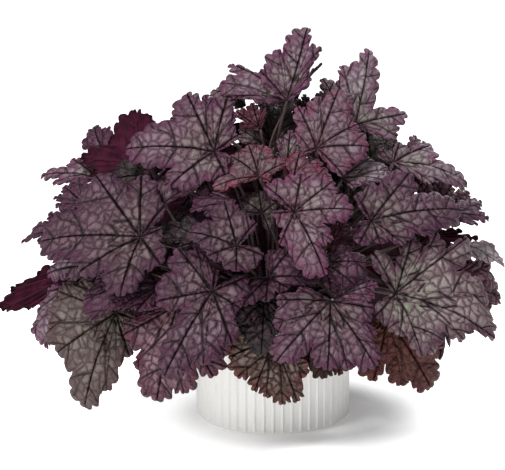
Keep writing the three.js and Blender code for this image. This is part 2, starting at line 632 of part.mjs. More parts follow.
// The blade's plan view: points, and triangles that turn anticlockwise seen from its face.
function bladePlan({ lobes, sinuses, plainLobe }) {
  const points = [new THREE.Vector2(0, 0)];
  const triangles = [];
  const margin = [0];
  const [firstCleft, lastCleft] = cleftPoints(lobes);
  let sinus = firstCleft;
  let sinusIndex = points.push(flat(firstCleft)) - 1;
  margin.push(sinusIndex);
  lobes.forEach((lobe, i) => {
    const next = sinuses[i] ?? lastCleft;
    const shares = lobe.reach > plainLobe ? blade.edgeShares : blade.plainShares;
    const edge = [
      ...shares.map((share) => marginPoint(sinus, lobe, share)),
      flat(lobe),
      ...[...shares].reverse().map((share) => marginPoint(next, lobe, share)),
      flat(next),
    ].map((point) => points.push(point) - 1);
    const vein = points.push(flat(polar(lobe.angle, lobe.reach * blade.veinPoint))) - 1;
    const round = [sinusIndex, ...edge];
    for (let k = 0; k + 1 < round.length; k++) triangles.push([vein, round[k + 1], round[k]]);
    triangles.push([0, vein, sinusIndex], [0, edge[edge.length - 1], vein]);
    margin.push(...edge);
    sinus = next;
    sinusIndex = edge[edge.length - 1];
  });
  return { points, triangles, margin };
}

function bladeSolid(plan, thickness) {
  const { points, triangles, margin } = bladePlan(plan);
  const count = points.length;
  const coordinates = [];
  [thickness / 2, -thickness / 2].forEach((lift) =>
    points.forEach((point) => {
      const place = plan.junction.clone();
      place.addScaledVector(plan.across, point.x).addScaledVector(plan.along, point.y);
      place.addScaledVector(plan.normal, heightAt(plan, point) + lift);
      coordinates.push(place.x, place.y, place.z);
    }),
  );
  const faces = triangles.flatMap(([a, b, c]) => [a, b, c, count + a, count + c, count + b]);
  margin.forEach((a, i) => {
    const b = margin[(i + 1) % margin.length];
    faces.push(a, b, count + b, a, count + b, count + a);
  });
  return new wasm.Manifold(
    new wasm.Mesh({
      numProp: 3,
      vertProperties: new Float32Array(coordinates),
      triVerts: new Uint32Array(faces),
    }),
  );
}

// ---- clearance

function boxesMeet(a, b) {
  return [0, 1, 2].every((axis) => a.min[axis] < b.max[axis] && b.min[axis] < a.max[axis]);
}

function isClear(solid, others) {
  const box = solid.boundingBox();
  return others.every((other) => {
    if (!boxesMeet(box, other.box)) return true;
    const common = solid.intersect(other.solid);
    const clear = common.isEmpty();
    common.delete();
    return clear;
  });
}

function obstacle(solid, owner) {
  return { solid, owner, box: solid.boundingBox() };
}

// The room that a stalk's end needs under its blade.
function neckSolid(plan) {
  const arrival = arrivalAt(plan);
  const top = plan.junction.clone().addScaledVector(arrival, -stalk.neckClear);
  const bottom = plan.junction.clone().addScaledVector(arrival, -stalk.neckRoom);
  return stalkSolid(new THREE.LineCurve3(bottom, top), stalk.radius + stalk.room, 1);
}

// Moves a leaf, a step at a time, until its blade lies clear of the others, and its neck too if asked.
function layClear(plan, others, withNeck) {
  const testBlade = bladeSolid(plan, blade.testThickness);
  const test = withNeck ? testBlade.add(neckSolid(plan)) : testBlade;
  for (const step of plan.steps) {
    const shift = plan.away.clone().multiplyScalar(step * layer.step);
    const moved = test.translate(shift.toArray());
    if (isClear(moved, others)) {
      plan.junction.add(shift);
      return;
    }
  }
  throw new Error(plan.node + " found no room");
}

// ---- stalks

// A place on the crown and the direction out of it, from its angle off the top and its azimuth.
function crownPlace(tilt, azimuth) {
  const place = new THREE.Vector3(
    crown.radius * Math.sin(tilt) * Math.cos(azimuth),
    crown.radius * Math.sin(tilt) * Math.sin(azimuth),
    crown.rise * Math.cos(tilt),
  );
  const slope = new THREE.Vector3(crown.radius ** -2, crown.radius ** -2, crown.rise ** -2);
  const outward = place.clone().multiply(slope).normalize();
  place.z += crownBase;
  return { place, outward };
}

// A start on the crown's surface, at least a stalk's spacing from those already taken.
function stalkStart(plan, taken) {
  const aim = plan.junction.clone().sub(new THREE.Vector3(0, 0, crownBase));
  const azimuth = Math.atan2(aim.y, aim.x);
  const upright = aim.angleTo(new THREE.Vector3(0, 0, 1));
  const lean = Math.min(crown.lowest, upright * crown.leanShare);
  for (let ring = 0; ring < crown.searchRings; ring++) {
    for (let turn = 0; turn < crown.searchTurns; turn++) {
      const offset = ring * crown.searchStep;
      const bearing = (turn * 2 * Math.PI) / crown.searchTurns;
      const tilt = lean + offset * Math.cos(bearing);
      const swing = (offset * Math.sin(bearing)) / Math.max(crown.leastSine, Math.sin(lean));
      if (tilt < 0 || tilt > crown.lowest) continue;
      const { place, outward } = crownPlace(tilt, azimuth + swing);
      if (taken.some((start) => start.place.distanceTo(place) < stalk.spacing)) continue;
      return { place: place.addScaledVector(outward, seat), outward };
    }
  }
  throw new Error(plan.node + " has no room on the crown");
}

// Stalks of one node grow from one place, each a little further out and aside so that they fuse.
function siblingStart(start, index) {
  const aside = start.outward.clone().cross(rightwards).normalize();
  aside.applyAxisAngle(start.outward, index * stalk.siblingTurn);
  const place = start.place.clone().addScaledVector(start.outward, index * stalk.siblingRise);
  return { place: place.addScaledVector(aside, index ? stalk.siblingStep : 0), outward: start.outward };
}

// The direction in which a stalk comes to its blade from below.
function arrivalAt(plan) {
  const arrival = plan.along.clone().multiplyScalar(stalk.arrivalAlong);
  return arrival.addScaledVector(plan.normal, stalk.arrivalUp).normalize();
}

function stalkSolid(curve, radius, steps) {
  const section = new THREE.Shape();
  const corners = [];
  for (let i = 0; i < stalk.sides; i++) {
    const angle = (i * 2 * Math.PI) / stalk.sides;
    corners.push(new THREE.Vector2(radius * Math.cos(angle), radius * Math.sin(angle)));
  }
  section.setFromPoints(corners);
  return solidFrom(
    new THREE.ExtrudeGeometry(section, { steps, bevelEnabled: false, extrudePath: curve }),
  );
}

// Ways from the crown to the blade: the straightest first, then ever freer seeded draws.
function* stalkRoutes(plan, start) {
  const draw = drawsFrom(plan.seed);
  const end = plan.junction;
  const span = end.distanceTo(start.place);
  const anyWay = (size) => new THREE.Vector3(draw(-size, size), draw(-size, size), draw(-size, size));
  for (let attempt = 0; attempt < stalk.attempts; attempt++) {
    const freedom = attempt / stalk.attempts;
    const arrival = arrivalAt(plan).add(anyWay(stalk.swing * freedom)).normalize();
    const leaving = start.place.clone().addScaledVector(start.outward, stalk.collar);
    const first = start.place.clone().addScaledVector(start.outward, stalk.risingShare * span);
    const second = end.clone().addScaledVector(arrival, -stalk.arrivingShare * span);
    const middle = first.add(second).multiplyScalar(0.5).add(anyWay(stalk.sway * freedom));
    const arriving = end.clone().addScaledVector(arrival, -stalk.neck);
    const points = [start.place, leaving, middle, arriving, end];
    yield new THREE.CatmullRomCurve3(points, false, "centripetal");
  }
}

function growStalk(plan, start, others) {
  for (const curve of stalkRoutes(plan, start)) {
    const test = stalkSolid(curve, stalk.radius + stalk.room, stalk.steps);
    const clear = isClear(test, others);
    test.delete();
    if (clear) return stalkSolid(curve, stalk.radius, stalk.steps);
  }
  throw new Error(plan.node + " has a stalk with no way");
}

// ---- the plant

// Lays every blade: the front ones in turn, then the rear ones round them and clear of all the necks.
function layBlades(obstacles) {
  const front = frontLeaves.map(frontPlan);
  front.forEach((plan) => {
    layClear(plan, obstacles, false);
    plan.solid = bladeSolid(plan, blade.thickness);
    obstacles.push(obstacle(plan.solid, plan));
  });
  const necks = new Map(front.map((plan) => [plan, obstacle(neckSolid(plan), plan)]));
  const rear = rearPlans();
  rear.forEach((plan) => {
    layClear(plan, [...obstacles, ...necks.values()], true);
    plan.solid = bladeSolid(plan, blade.thickness);
    obstacles.push(obstacle(plan.solid, plan));
    necks.set(plan, obstacle(neckSolid(plan), plan));
  });
  return { plans: [...front, ...rear], necks };
}

// Grows the stalks, and joins each leaf to the others of its node.
function growLeaves(plans, necks, obstacles) {
  const nodes = new Map();
  plans.forEach((plan) => {
    if (!nodes.has(plan.node)) {
      const taken = [...nodes.values()].map((node) => node.start);
      nodes.set(plan.node, { start: stalkStart(plan, taken), leaves: 0, tone: plan.tone });
    }
    const node = nodes.get(plan.node);
    necks.delete(plan);
    const others = [...obstacles, ...necks.values()].filter(
      ({ owner }) => owner !== plan && owner !== plan.node,
    );
    const grown = growStalk(plan, siblingStart(node.start, node.leaves), others);
    obstacles.push(obstacle(grown, plan.node));
    const leaf = plan.solid.add(grown);
    node.solid = (node.solid ? node.solid.add(leaf) : leaf).simplify(sliver);
    node.leaves += 1;
    node.tone = plan.tone;
  });
  return nodes;
}

function plantMeshes() {
  const holders = [
    { name: "pot", solid: potSolid(), ...finish.pot },
    { name: "soil", solid: soilSolid(), ...finish.soil },
    { name: "crown", solid: crownSolid(), ...finish.crown },
  ];
  const obstacles = holders.map(({ solid, name }) => obstacle(solid, name));
  const { plans, necks } = layBlades(obstacles);
  const nodes = growLeaves(plans, necks, obstacles);
  return [
    ...holders.map(({ solid, name, color, roughness }) => meshFrom(solid, name, color, roughness)),
    ...[...nodes].map(([name, { solid, tone }]) => meshFrom(solid, name, tones[tone], finish.leafRoughness)),
  ];
}

const plant = new THREE.Group();
plantMeshes().forEach((mesh) => plant.add(mesh));
export default plant;
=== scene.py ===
import json
import math
from collections import namedtuple

import bpy
import numpy as np
from mathutils import Matrix, Vector, noise


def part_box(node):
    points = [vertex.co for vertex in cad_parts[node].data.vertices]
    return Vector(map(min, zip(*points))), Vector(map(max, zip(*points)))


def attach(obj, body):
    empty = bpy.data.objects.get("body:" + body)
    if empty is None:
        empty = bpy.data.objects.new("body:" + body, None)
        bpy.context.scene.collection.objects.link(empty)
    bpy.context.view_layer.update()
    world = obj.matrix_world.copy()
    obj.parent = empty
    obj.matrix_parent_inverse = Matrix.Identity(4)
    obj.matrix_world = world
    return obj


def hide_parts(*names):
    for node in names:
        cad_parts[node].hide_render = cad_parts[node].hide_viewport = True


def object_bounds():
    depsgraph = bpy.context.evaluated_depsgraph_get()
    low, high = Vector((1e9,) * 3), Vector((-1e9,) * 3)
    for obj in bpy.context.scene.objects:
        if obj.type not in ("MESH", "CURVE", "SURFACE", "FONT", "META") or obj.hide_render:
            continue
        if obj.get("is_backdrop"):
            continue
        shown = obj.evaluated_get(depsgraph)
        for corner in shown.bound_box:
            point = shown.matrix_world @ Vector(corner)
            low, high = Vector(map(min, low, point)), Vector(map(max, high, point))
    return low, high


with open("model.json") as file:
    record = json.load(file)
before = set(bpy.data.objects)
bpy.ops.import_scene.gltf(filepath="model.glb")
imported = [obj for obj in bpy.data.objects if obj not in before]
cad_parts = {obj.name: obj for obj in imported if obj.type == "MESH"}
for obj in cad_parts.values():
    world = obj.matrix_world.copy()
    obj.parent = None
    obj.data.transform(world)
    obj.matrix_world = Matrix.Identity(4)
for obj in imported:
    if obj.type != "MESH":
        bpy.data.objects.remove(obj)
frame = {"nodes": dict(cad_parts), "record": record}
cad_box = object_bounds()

# A heuchera in a ribbed pot. Plans of leaves are drawn in millimetres; everything placed is in metres.
MM = 0.001
DEGREE = math.pi / 180
UP = np.array([0.0, 0.0, 1.0])

# ---- camera and light

CAMERA_TILT = 12 * DEGREE
CAMERA_TARGET = (-0.0211, 0.0, 0.1908)
CAMERA_DISTANCE = 2.2
CAMERA_LENS = 152.3
CAMERA_SENSOR = 36

SKY_STRENGTH = 0.27
FLOOR_SIZE = 40
# The floor glows, a painted light that keeps the rest of it white; it glows less round the pot's foot, a
# painted shade there, so that the cast shadow shows there as well.
FLOOR_GLOW = 0.8
FLOOR_GLOW_NEAR = 0.16
FOOT_SHADE = {"centre": (0.03, 0.0, 0.0), "inner": 0.085, "outer": 0.15}
LAMPS = {
    "key": {"place": (-0.75, -0.75, 2.1), "size": 0.6, "power": 58},
    "fill": {"place": (-1.7, -1.6, 0.5), "size": 1.2, "power": 14},
    "back": {"place": (0.9, 1.9, 1.3), "size": 1.4, "power": 26},
}


def aim(thing, target):
    """Turns a camera or a lamp towards a point."""
    thing.rotation_euler = (Vector(target) - thing.location).to_track_quat("-Z", "Y").to_euler()


def add_camera():
    back = Vector((0, -math.cos(CAMERA_TILT), math.sin(CAMERA_TILT)))
    bpy.ops.object.camera_add(location=Vector(CAMERA_TARGET) + CAMERA_DISTANCE * back)
    camera = bpy.context.object
    aim(camera, CAMERA_TARGET)
    camera.data.lens = CAMERA_LENS
    camera.data.sensor_width = CAMERA_SENSOR
    bpy.context.scene.camera = camera


def add_studio():
    world = bpy.data.worlds.new("studio")
    world.use_nodes = True
    world.node_tree.nodes["Background"].inputs["Color"].default_value = (1, 1, 1, 1)
    world.node_tree.nodes["Background"].inputs["Strength"].default_value = SKY_STRENGTH
    bpy.context.scene.world = world
    for name, lamp in LAMPS.items():
        bpy.ops.object.light_add(type="AREA", location=lamp["place"])
        light = bpy.context.object
        light.name = name
        light.data.size = lamp["size"]
        light.data.energy = lamp["power"]
        aim(light, CAMERA_TARGET)
    bpy.ops.mesh.primitive_plane_add(size=FLOOR_SIZE)
    floor = bpy.context.object
    floor.name = "floor"
    floor.data.materials.append(floor_finish())
    floor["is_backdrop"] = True
    bpy.context.scene.view_settings.view_transform = "Standard"


# ---- finishes

def linear(colour):
    """The shader's linear colour for one that is written as it looks on screen (the sRGB curve)."""
    shares = [channel / 255 for channel in bytes.fromhex(colour)]
    return tuple(s / 12.92 if s <= 0.04045 else ((s + 0.055) / 1.055) ** 2.4 for s in shares) + (1,)


def grey(level):
    return (level, level, level, 1)


# What noise gives on average, as a colour.
NOISE_MIDDLE = (0.5, 0.5, 0.5)


class Value:
    """A socket of a finish: arithmetic on it adds the nodes that work it out."""

    def __init__(self, finish, socket):
        self.finish = finish
        self.socket = socket

    def math(self, operation, *others):
        sockets = dict(enumerate([self, *others]))
        return self.finish.node("ShaderNodeMath", {"operation": operation}, sockets)

    def __add__(self, other):
        return self.math("ADD", other)

    def __mul__(self, other):
        return self.math("MULTIPLY", other)

    def __sub__(self, other):
        return self.math("SUBTRACT", other)

    def __rsub__(self, other):
        return self.finish.node("ShaderNodeMath", {"operation": "SUBTRACT"}, {0: other, 1: self})

    __radd__ = __add__
    __rmul__ = __mul__

    def fade(self, start, end, most=1.0):
        """0 up to the start and the most from the end on, with a soft step between; the end may be lower."""
        sockets = {"Value": self, "From Min": min(start, end), "From Max": max(start, end)}
        sockets |= {"To Min": most * (start > end), "To Max": most * (start < end)}
        return self.finish.node("ShaderNodeMapRange", {"interpolation_type": "SMOOTHSTEP"}, sockets)

    def most(self, other):
        return self.math("MAXIMUM", other)


class Finish:
    """A material that is put together node by node."""

    def __init__(self, name):
        self.material = bpy.data.materials.new(name)
        self.material.use_nodes = True
        self.nodes = self.material.node_tree.nodes
        self.surface = self.nodes["Principled BSDF"]

    def node(self, kind, settings=None, sockets=None, output=0):
        node = self.nodes.new(kind)
        for name, value in (settings or {}).items():
            setattr(node, name, value)
        for name, value in (sockets or {}).items():
            self.feed(node.inputs[name], value)
        return Value(self, node.outputs[output])

    def feed(self, socket, value):
        if isinstance(value, Value):
            self.material.node_tree.links.new(value.socket, socket)
        else:
            socket.default_value = value

    def set(self, **sockets):
        """Feeds the surface: names are the shader's, with _ for a space."""
        for name, value in sockets.items():
            self.feed(self.surface.inputs[name.replace("_", " ")], value)

    def place(self):
        return self.node("ShaderNodeTexCoord", output="Object")

    def plan(self):
        return self.node("ShaderNodeUVMap", {"uv_map": PLAN_MAP})

    def attribute(self, name):
        return self.node("ShaderNodeAttribute", {"attribute_name": name}, output="Fac")

    def noise(self, place, scale, detail=2.0, output=0):
        sockets = {"Vector": place, "Scale": scale, "Detail": detail}
        return self.node("ShaderNodeTexNoise", {}, sockets, output)

    def mix(self, first, second, share):
        """A colour between two, by its share of the second."""
        return self.node("ShaderNodeMix", {"data_type": "RGBA"}, {0: share, 6: first, 7: second}, 2)

    def warped(self, place, scale, amount):
        """A place moved about by soft noise."""
        wander = self.noise(place, scale, output="Color")
        centred = self.node("ShaderNodeVectorMath", {"operation": "SUBTRACT"}, {0: wander, 1: NOISE_MIDDLE})
        moved = self.node("ShaderNodeVectorMath", {"operation": "SCALE"}, {0: centred, "Scale": amount})
        return self.node("ShaderNodeVectorMath", {"operation": "ADD"}, {0: place, 1: moved})

    def bump(self, height, distance, strength):
        sockets = {"Height": height, "Distance": distance, "Strength": strength}
        self.set(Normal=self.node("ShaderNodeBump", {}, sockets))


# Colours are written as they look on screen, in hexadecimal. A leaf's are those of its silvered panels, the
# body between them, its margin, its veins and the panels round its heart.
LEAF_TONES = {
    "lilac": "6c5662 4d333e 4a1a3b 100605 69615d",
    "greylilac": "5a424e 3a222c 3c1530 0d0404 5f5152",
    "purplelilac": "66525e 3d232f 3f1331 0f0504 5e4d51",
    "palelilac": "8e7f81 644f55 461e37 110705 797e6d",
    "pinklilac": "796871 5a3e4a 5d2648 1d0e0c 716665",
    "mauve": "776a72 593e4a 572347 201514 6f6a66",
    "purple": "503447 3d1f2f 400f2f 140708 49303d",
    "vivid": "5b3c4d 351726 350a24 060204 543742",
    "grey": "7b7676 5c4a4c 532a44 1f1311 726f68",
    "greypink": "8d8289 69575f 663454 2c1f1c 787a6d",
    "rose": "72606b 573e49 662d49 261412 69595c",
    "pink": "7b616a 4d2e3a 450e25 120305 715a5b",
    "young": "66575c 51393f 6b253d 230d0e 5e504f",
    "youngred": "6f4e59 532e3c 6e1f3c 2b090c 66494d",
    "olive": "392a2e 221518 220916 030201 342627",
    # The shade tone is painted shade: a near-black copy of the leaf colours for leaves deep inside the plant,
    # which stand where only shadow shows.
    "shade": "3f3733 2f2623 301323 0a0202 3a322c",
    "slate": "4c353c 160d0f 180610 020101 463032",
    "taupe": "645957 463735 42282d 1e100c 5f5a53",
    "pale": "bab8b6 a4949a 8c687e 504442 a8aa9e",
    "bronze": "7f6f67 48332b 5a2223 130402 756858",
    "brown": "31110f 270904 290503 200c02 2d100d",
    "redbrown": "562d26 401a14 481016 2c100b 4f2921",
    "maroon": "6b3d4f 411a28 440e23 200509 633844",
    "under": "4f2337 2a0715 2c0312 0e0102 48212f",
}
UNDERSIDE = {"body": "240513", "light": "3a0b20", "vein": "44182a", "margin": "1c040f"}
STALK = {"low": "260d12", "high": "381e1c"}
POT = {"body": "ecebe8", "speck": "dedcd8"}
SOIL = {"dark": "261c16", "light": "4a382a", "fleck": "969086"}
WOOD = {"dark": "34221a", "light": "624634"}
FLOOR = {"light": 0.92, "dark": 0.9, "patches": (2, 1), "roughness": 0.9}

PLAN_MAP = "plan"
# One unit of the plan map is this many millimetres.
PLAN_UNIT = 100
NET_SCALES = {"cells": 11, "fine": 30}
# The nets are bent by coarse and then by fine noise: its scale, and how far it moves them.
NET_WARPS = [(6, 0.1), (26, 0.03)]

# Each mark on a leaf: what it is drawn from, where it fades in, from nothing to all of it, and how strong it
# is. Ribs and side veins are measured in vein widths, edges in millimetres, and the rest are shares.
UPPER_MARKS = {
    "patch": ("clouds", 0.3, 0.62, 0.85),
    "patch_end": ("edge", 0, 16),
    "panel": ("cells", 0.02, 0.3),
    "panel_end": ("side", 0.4, 3.0),
    "heart": ("heart", 0.55, 0.12),
    "margin": ("edge", 13, 0.5, 0.95),
    "margin_gap": ("clouds", 0.75, 0.3),
    "rib_halo": ("rib", 4.0, 1.0, 0.35),
    "side_halo": ("side", 3.0, 0.6, 0.3),
    "net": ("cells", 0.085, 0.015),
    "fine_net": ("fine", 0.09, 0.01, 0.18),
    "side_line": ("side", 1.6, 0.7, 0.95),
    "rib_line": ("rib", 1.4, 0.8),
    "cell_dome": ("cells", 0, 0.35, 0.55),
    "side_dome": ("side", 0, 4.0, 0.5),
    "rib_dome": ("rib", 0, 3.0, 0.6),
    "fine_dome": ("fine", 0, 0.3, 0.14),
}
UNDER_MARKS = {
    "light": ("clouds", 0.35, 0.7),
    "margin": ("edge", 6, 0, 0.6),
    "net": ("cells", 0.09, 0.02, 0.2),
    "side_line": ("side", 1.8, 0.6, 0.4),
    "rib_line": ("rib", 1.6, 0.7, 0.7),
}
PANEL_LEAST = 0.25
NET_LEAST = 0.12
NET_CLOUDS = 0.75
# Noise is given as its scale and detail. Roughness is what a leaf has, what its grain takes off that and what
# its lines add to it. A bump has the shares of the lines and the grain in it, and its depth in metres with
# its strength.
UPPER = {"clouds": (7, 3), "grain": (160, 2), "roughness": (0.58, 0.16, 0.14), "specular": 0.24}
UPPER_BUMP = {"grain": 0.1, "depth": (0.0022, 1.0)}
UNDER = {"clouds": (9, 3), "grain": (180, 2), "roughness": (0.7, 0.16, 0), "specular": 0.06}
UNDER_BUMP = {"lines": 0.8, "grain": 0.12, "depth": (0.0012, 0.8)}


class LeafFinish(Finish):
    """A leaf face's finish, with its grain, its clouds and the marks that its veins and margin make."""

    def __init__(self, name, look, marks):
        super().__init__(name)
        self.look = look
        place = self.plan()
        self.clouds = self.noise(place, *look["clouds"])
        self.grain = self.noise(place, *look["grain"])
        for warp in NET_WARPS:
            place = self.warped(place, *warp)
        fields = {name: self.attribute(name) for name in ("rib", "side", "edge", "heart")}
        fields |= {name: self.net(place, scale) for name, scale in NET_SCALES.items()}
        fields["clouds"] = self.clouds
        self.mark = {mark: fields[source].fade(*fade) for mark, (source, *fade) in marks.items()}

    def net(self, place, scale):
        """Small veins: cells that are 0 on a vein and rise to their middles."""
        settings = {"feature": "DISTANCE_TO_EDGE", "voronoi_dimensions": "2D"}
        return self.node("ShaderNodeTexVoronoi", settings, {"Vector": place, "Scale": scale})

    def veined(self, colour, vein, net):
        """The colour with the veins over it, and the lines they make."""
        lines = net.most(self.mark["side_line"]).most(self.mark["rib_line"])
        roughness, smoother, rougher = self.look["roughness"]
        dullness = roughness - self.grain * smoother + lines * rougher
        colour = self.mix(colour, vein, lines)
        self.set(Base_Color=colour, Roughness=dullness, Specular_IOR_Level=self.look["specular"])
        return lines


def leaf_upper_finish(tone):
    silver, body, margin, vein, core = map(linear, LEAF_TONES[tone].split())
    finish = LeafFinish("leaf_upper_" + tone, UPPER, UPPER_MARKS)
    mark = finish.mark
    panel = mark["panel"] * (mark["patch"] * mark["patch_end"] + PANEL_LEAST) * mark["panel_end"]
    silver = finish.mix(silver, core, mark["heart"])
    colour = finish.mix(body, silver, panel.math("MINIMUM", 1.0))
    colour = finish.mix(colour, margin, mark["margin"] * mark["margin_gap"])
    colour = finish.mix(colour, vein, mark["rib_halo"] + mark["side_halo"])
    net = mark["net"] * (finish.clouds * NET_CLOUDS + NET_LEAST)
    finish.veined(colour, vein, net.most(mark["fine_net"]))
    domes = mark["cell_dome"] + mark["side_dome"] + mark["rib_dome"] + mark["fine_dome"]
    finish.bump(domes + finish.grain * UPPER_BUMP["grain"], *UPPER_BUMP["depth"])
    return finish.material


def leaf_under_finish():
    body, light, vein, margin = map(linear, UNDERSIDE.values())
    finish = LeafFinish("leaf_underside", UNDER, UNDER_MARKS)
    colour = finish.mix(body, light, finish.mark["light"])
    colour = finish.mix(colour, margin, finish.mark["margin"])
    lines = finish.veined(colour, vein, finish.mark["net"])
    relief = lines * UNDER_BUMP["lines"] + finish.grain * UNDER_BUMP["grain"]
    finish.bump(relief, *UNDER_BUMP["depth"])
    return finish.material


# The other finishes, in the same terms. Where a roughness has a second number, patches change it by that.
STALK_STREAKS = {"noise": (260, 3), "fade": (0.35, 0.7), "roughness": (0.6, 0.1), "bump": (0.0004, 0.6)}
POT_SPECKS = {"noise": (420, 3), "fade": (0.62, 0.72), "share": 0.5, "depth": 0.5}
POT_CLOUDS = {"noise": (18, 2), "roughness": (0.5, 0.12), "bump": (0.0002, 0.35)}
SOIL_CRUMBS = {"noise": (210, 5), "fade": (0.4, 0.7), "roughness": 0.95, "bump": (0.003, 0.9)}
SOIL_FLECKS = {"noise": (330, 1), "fade": (0.74, 0.78)}
BARK = {"warp": (60, 0.01), "noise": (130, 5), "fade": (0.35, 0.7), "roughness": 0.85, "bump": (0.002, 0.9)}


def stalk_finish():
    finish = Finish("leaf_stalk")
    streaks = finish.noise(finish.place(), *STALK_STREAKS["noise"])
    colour = finish.mix(linear(STALK["low"]), linear(STALK["high"]), streaks.fade(*STALK_STREAKS["fade"]))
    roughness, smoother = STALK_STREAKS["roughness"]
    finish.set(Base_Color=colour, Roughness=roughness - streaks * smoother)
    finish.bump(streaks, *STALK_STREAKS["bump"])
    return finish.material


def pot_finish():
    finish = Finish("pot_ceramic")
    specks = finish.noise(finish.place(), *POT_SPECKS["noise"])
    clouds = finish.noise(finish.place(), *POT_CLOUDS["noise"])
    speckle = specks.fade(*POT_SPECKS["fade"]) * POT_SPECKS["share"]
    roughness, rougher = POT_CLOUDS["roughness"]
    colour = finish.mix(linear(POT["body"]), linear(POT["speck"]), speckle)
    finish.set(Base_Color=colour, Roughness=roughness + clouds * rougher)
    finish.bump(specks * POT_SPECKS["depth"] + clouds, *POT_CLOUDS["bump"])
    return finish.material


def soil_finish():
    finish = Finish("potting_mix")
    crumbs = finish.noise(finish.place(), *SOIL_CRUMBS["noise"])
    flecks = finish.noise(finish.place(), *SOIL_FLECKS["noise"])
    colour = finish.mix(linear(SOIL["dark"]), linear(SOIL["light"]), crumbs.fade(*SOIL_CRUMBS["fade"]))
    colour = finish.mix(colour, linear(SOIL["fleck"]), flecks.fade(*SOIL_FLECKS["fade"]))
    finish.set(Base_Color=colour, Roughness=SOIL_CRUMBS["roughness"])
    finish.bump(crumbs, *SOIL_CRUMBS["bump"])
    return finish.material


def wood_finish():
    finish = Finish("rootstock")
    bark = finish.noise(finish.warped(finish.place(), *BARK["warp"]), *BARK["noise"])
    colour = finish.mix(linear(WOOD["dark"]), linear(WOOD["light"]), bark.fade(*BARK["fade"]))
    finish.set(Base_Color=colour, Roughness=BARK["roughness"])
    finish.bump(bark, *BARK["bump"])
    return finish.material


def floor_finish():
    finish = Finish("floor")
    patches = finish.noise(finish.place(), *FLOOR["patches"])
    colour = finish.mix(grey(FLOOR["light"]), grey(FLOOR["dark"]), patches)
    finish.set(Base_Color=colour, Roughness=FLOOR["roughness"])
    # Painted light: the floor's glow, weaker round the pot's foot, where it is a painted shade.
    centre = {0: finish.place(), 1: FOOT_SHADE["centre"]}
    away = finish.node("ShaderNodeVectorMath", {"operation": "DISTANCE"}, centre, "Value")
    lit = away.fade(FOOT_SHADE["inner"], FOOT_SHADE["outer"])
    glow = finish.mix(grey(FLOOR_GLOW_NEAR / FLOOR_GLOW), grey(1), lit)
    finish.set(Emission_Color=glow, Emission_Strength=FLOOR_GLOW)
    return finish.material


# ---- how the leaves are laid out

# The front leaves are set out in a front elevation: a plane square to the line of sight of a viewer
# who stands this far off and looks this much down. It holds [right, up] of its centre point.
ELEVATION_CENTRE = np.array([-21.0, 0.0, 191.0])
ELEVATION_DISTANCE = 2200
ELEVATION_TILT = 12 * DEGREE
TOWARDS_VIEWER = np.array([0.0, -math.cos(ELEVATION_TILT), math.sin(ELEVATION_TILT)])
UPWARDS = np.array([0.0, math.sin(ELEVATION_TILT), math.cos(ELEVATION_TILT)])
RIGHTWARDS = np.array([1.0, 0.0, 0.0])
EYE = ELEVATION_CENTRE + TOWARDS_VIEWER * ELEVATION_DISTANCE

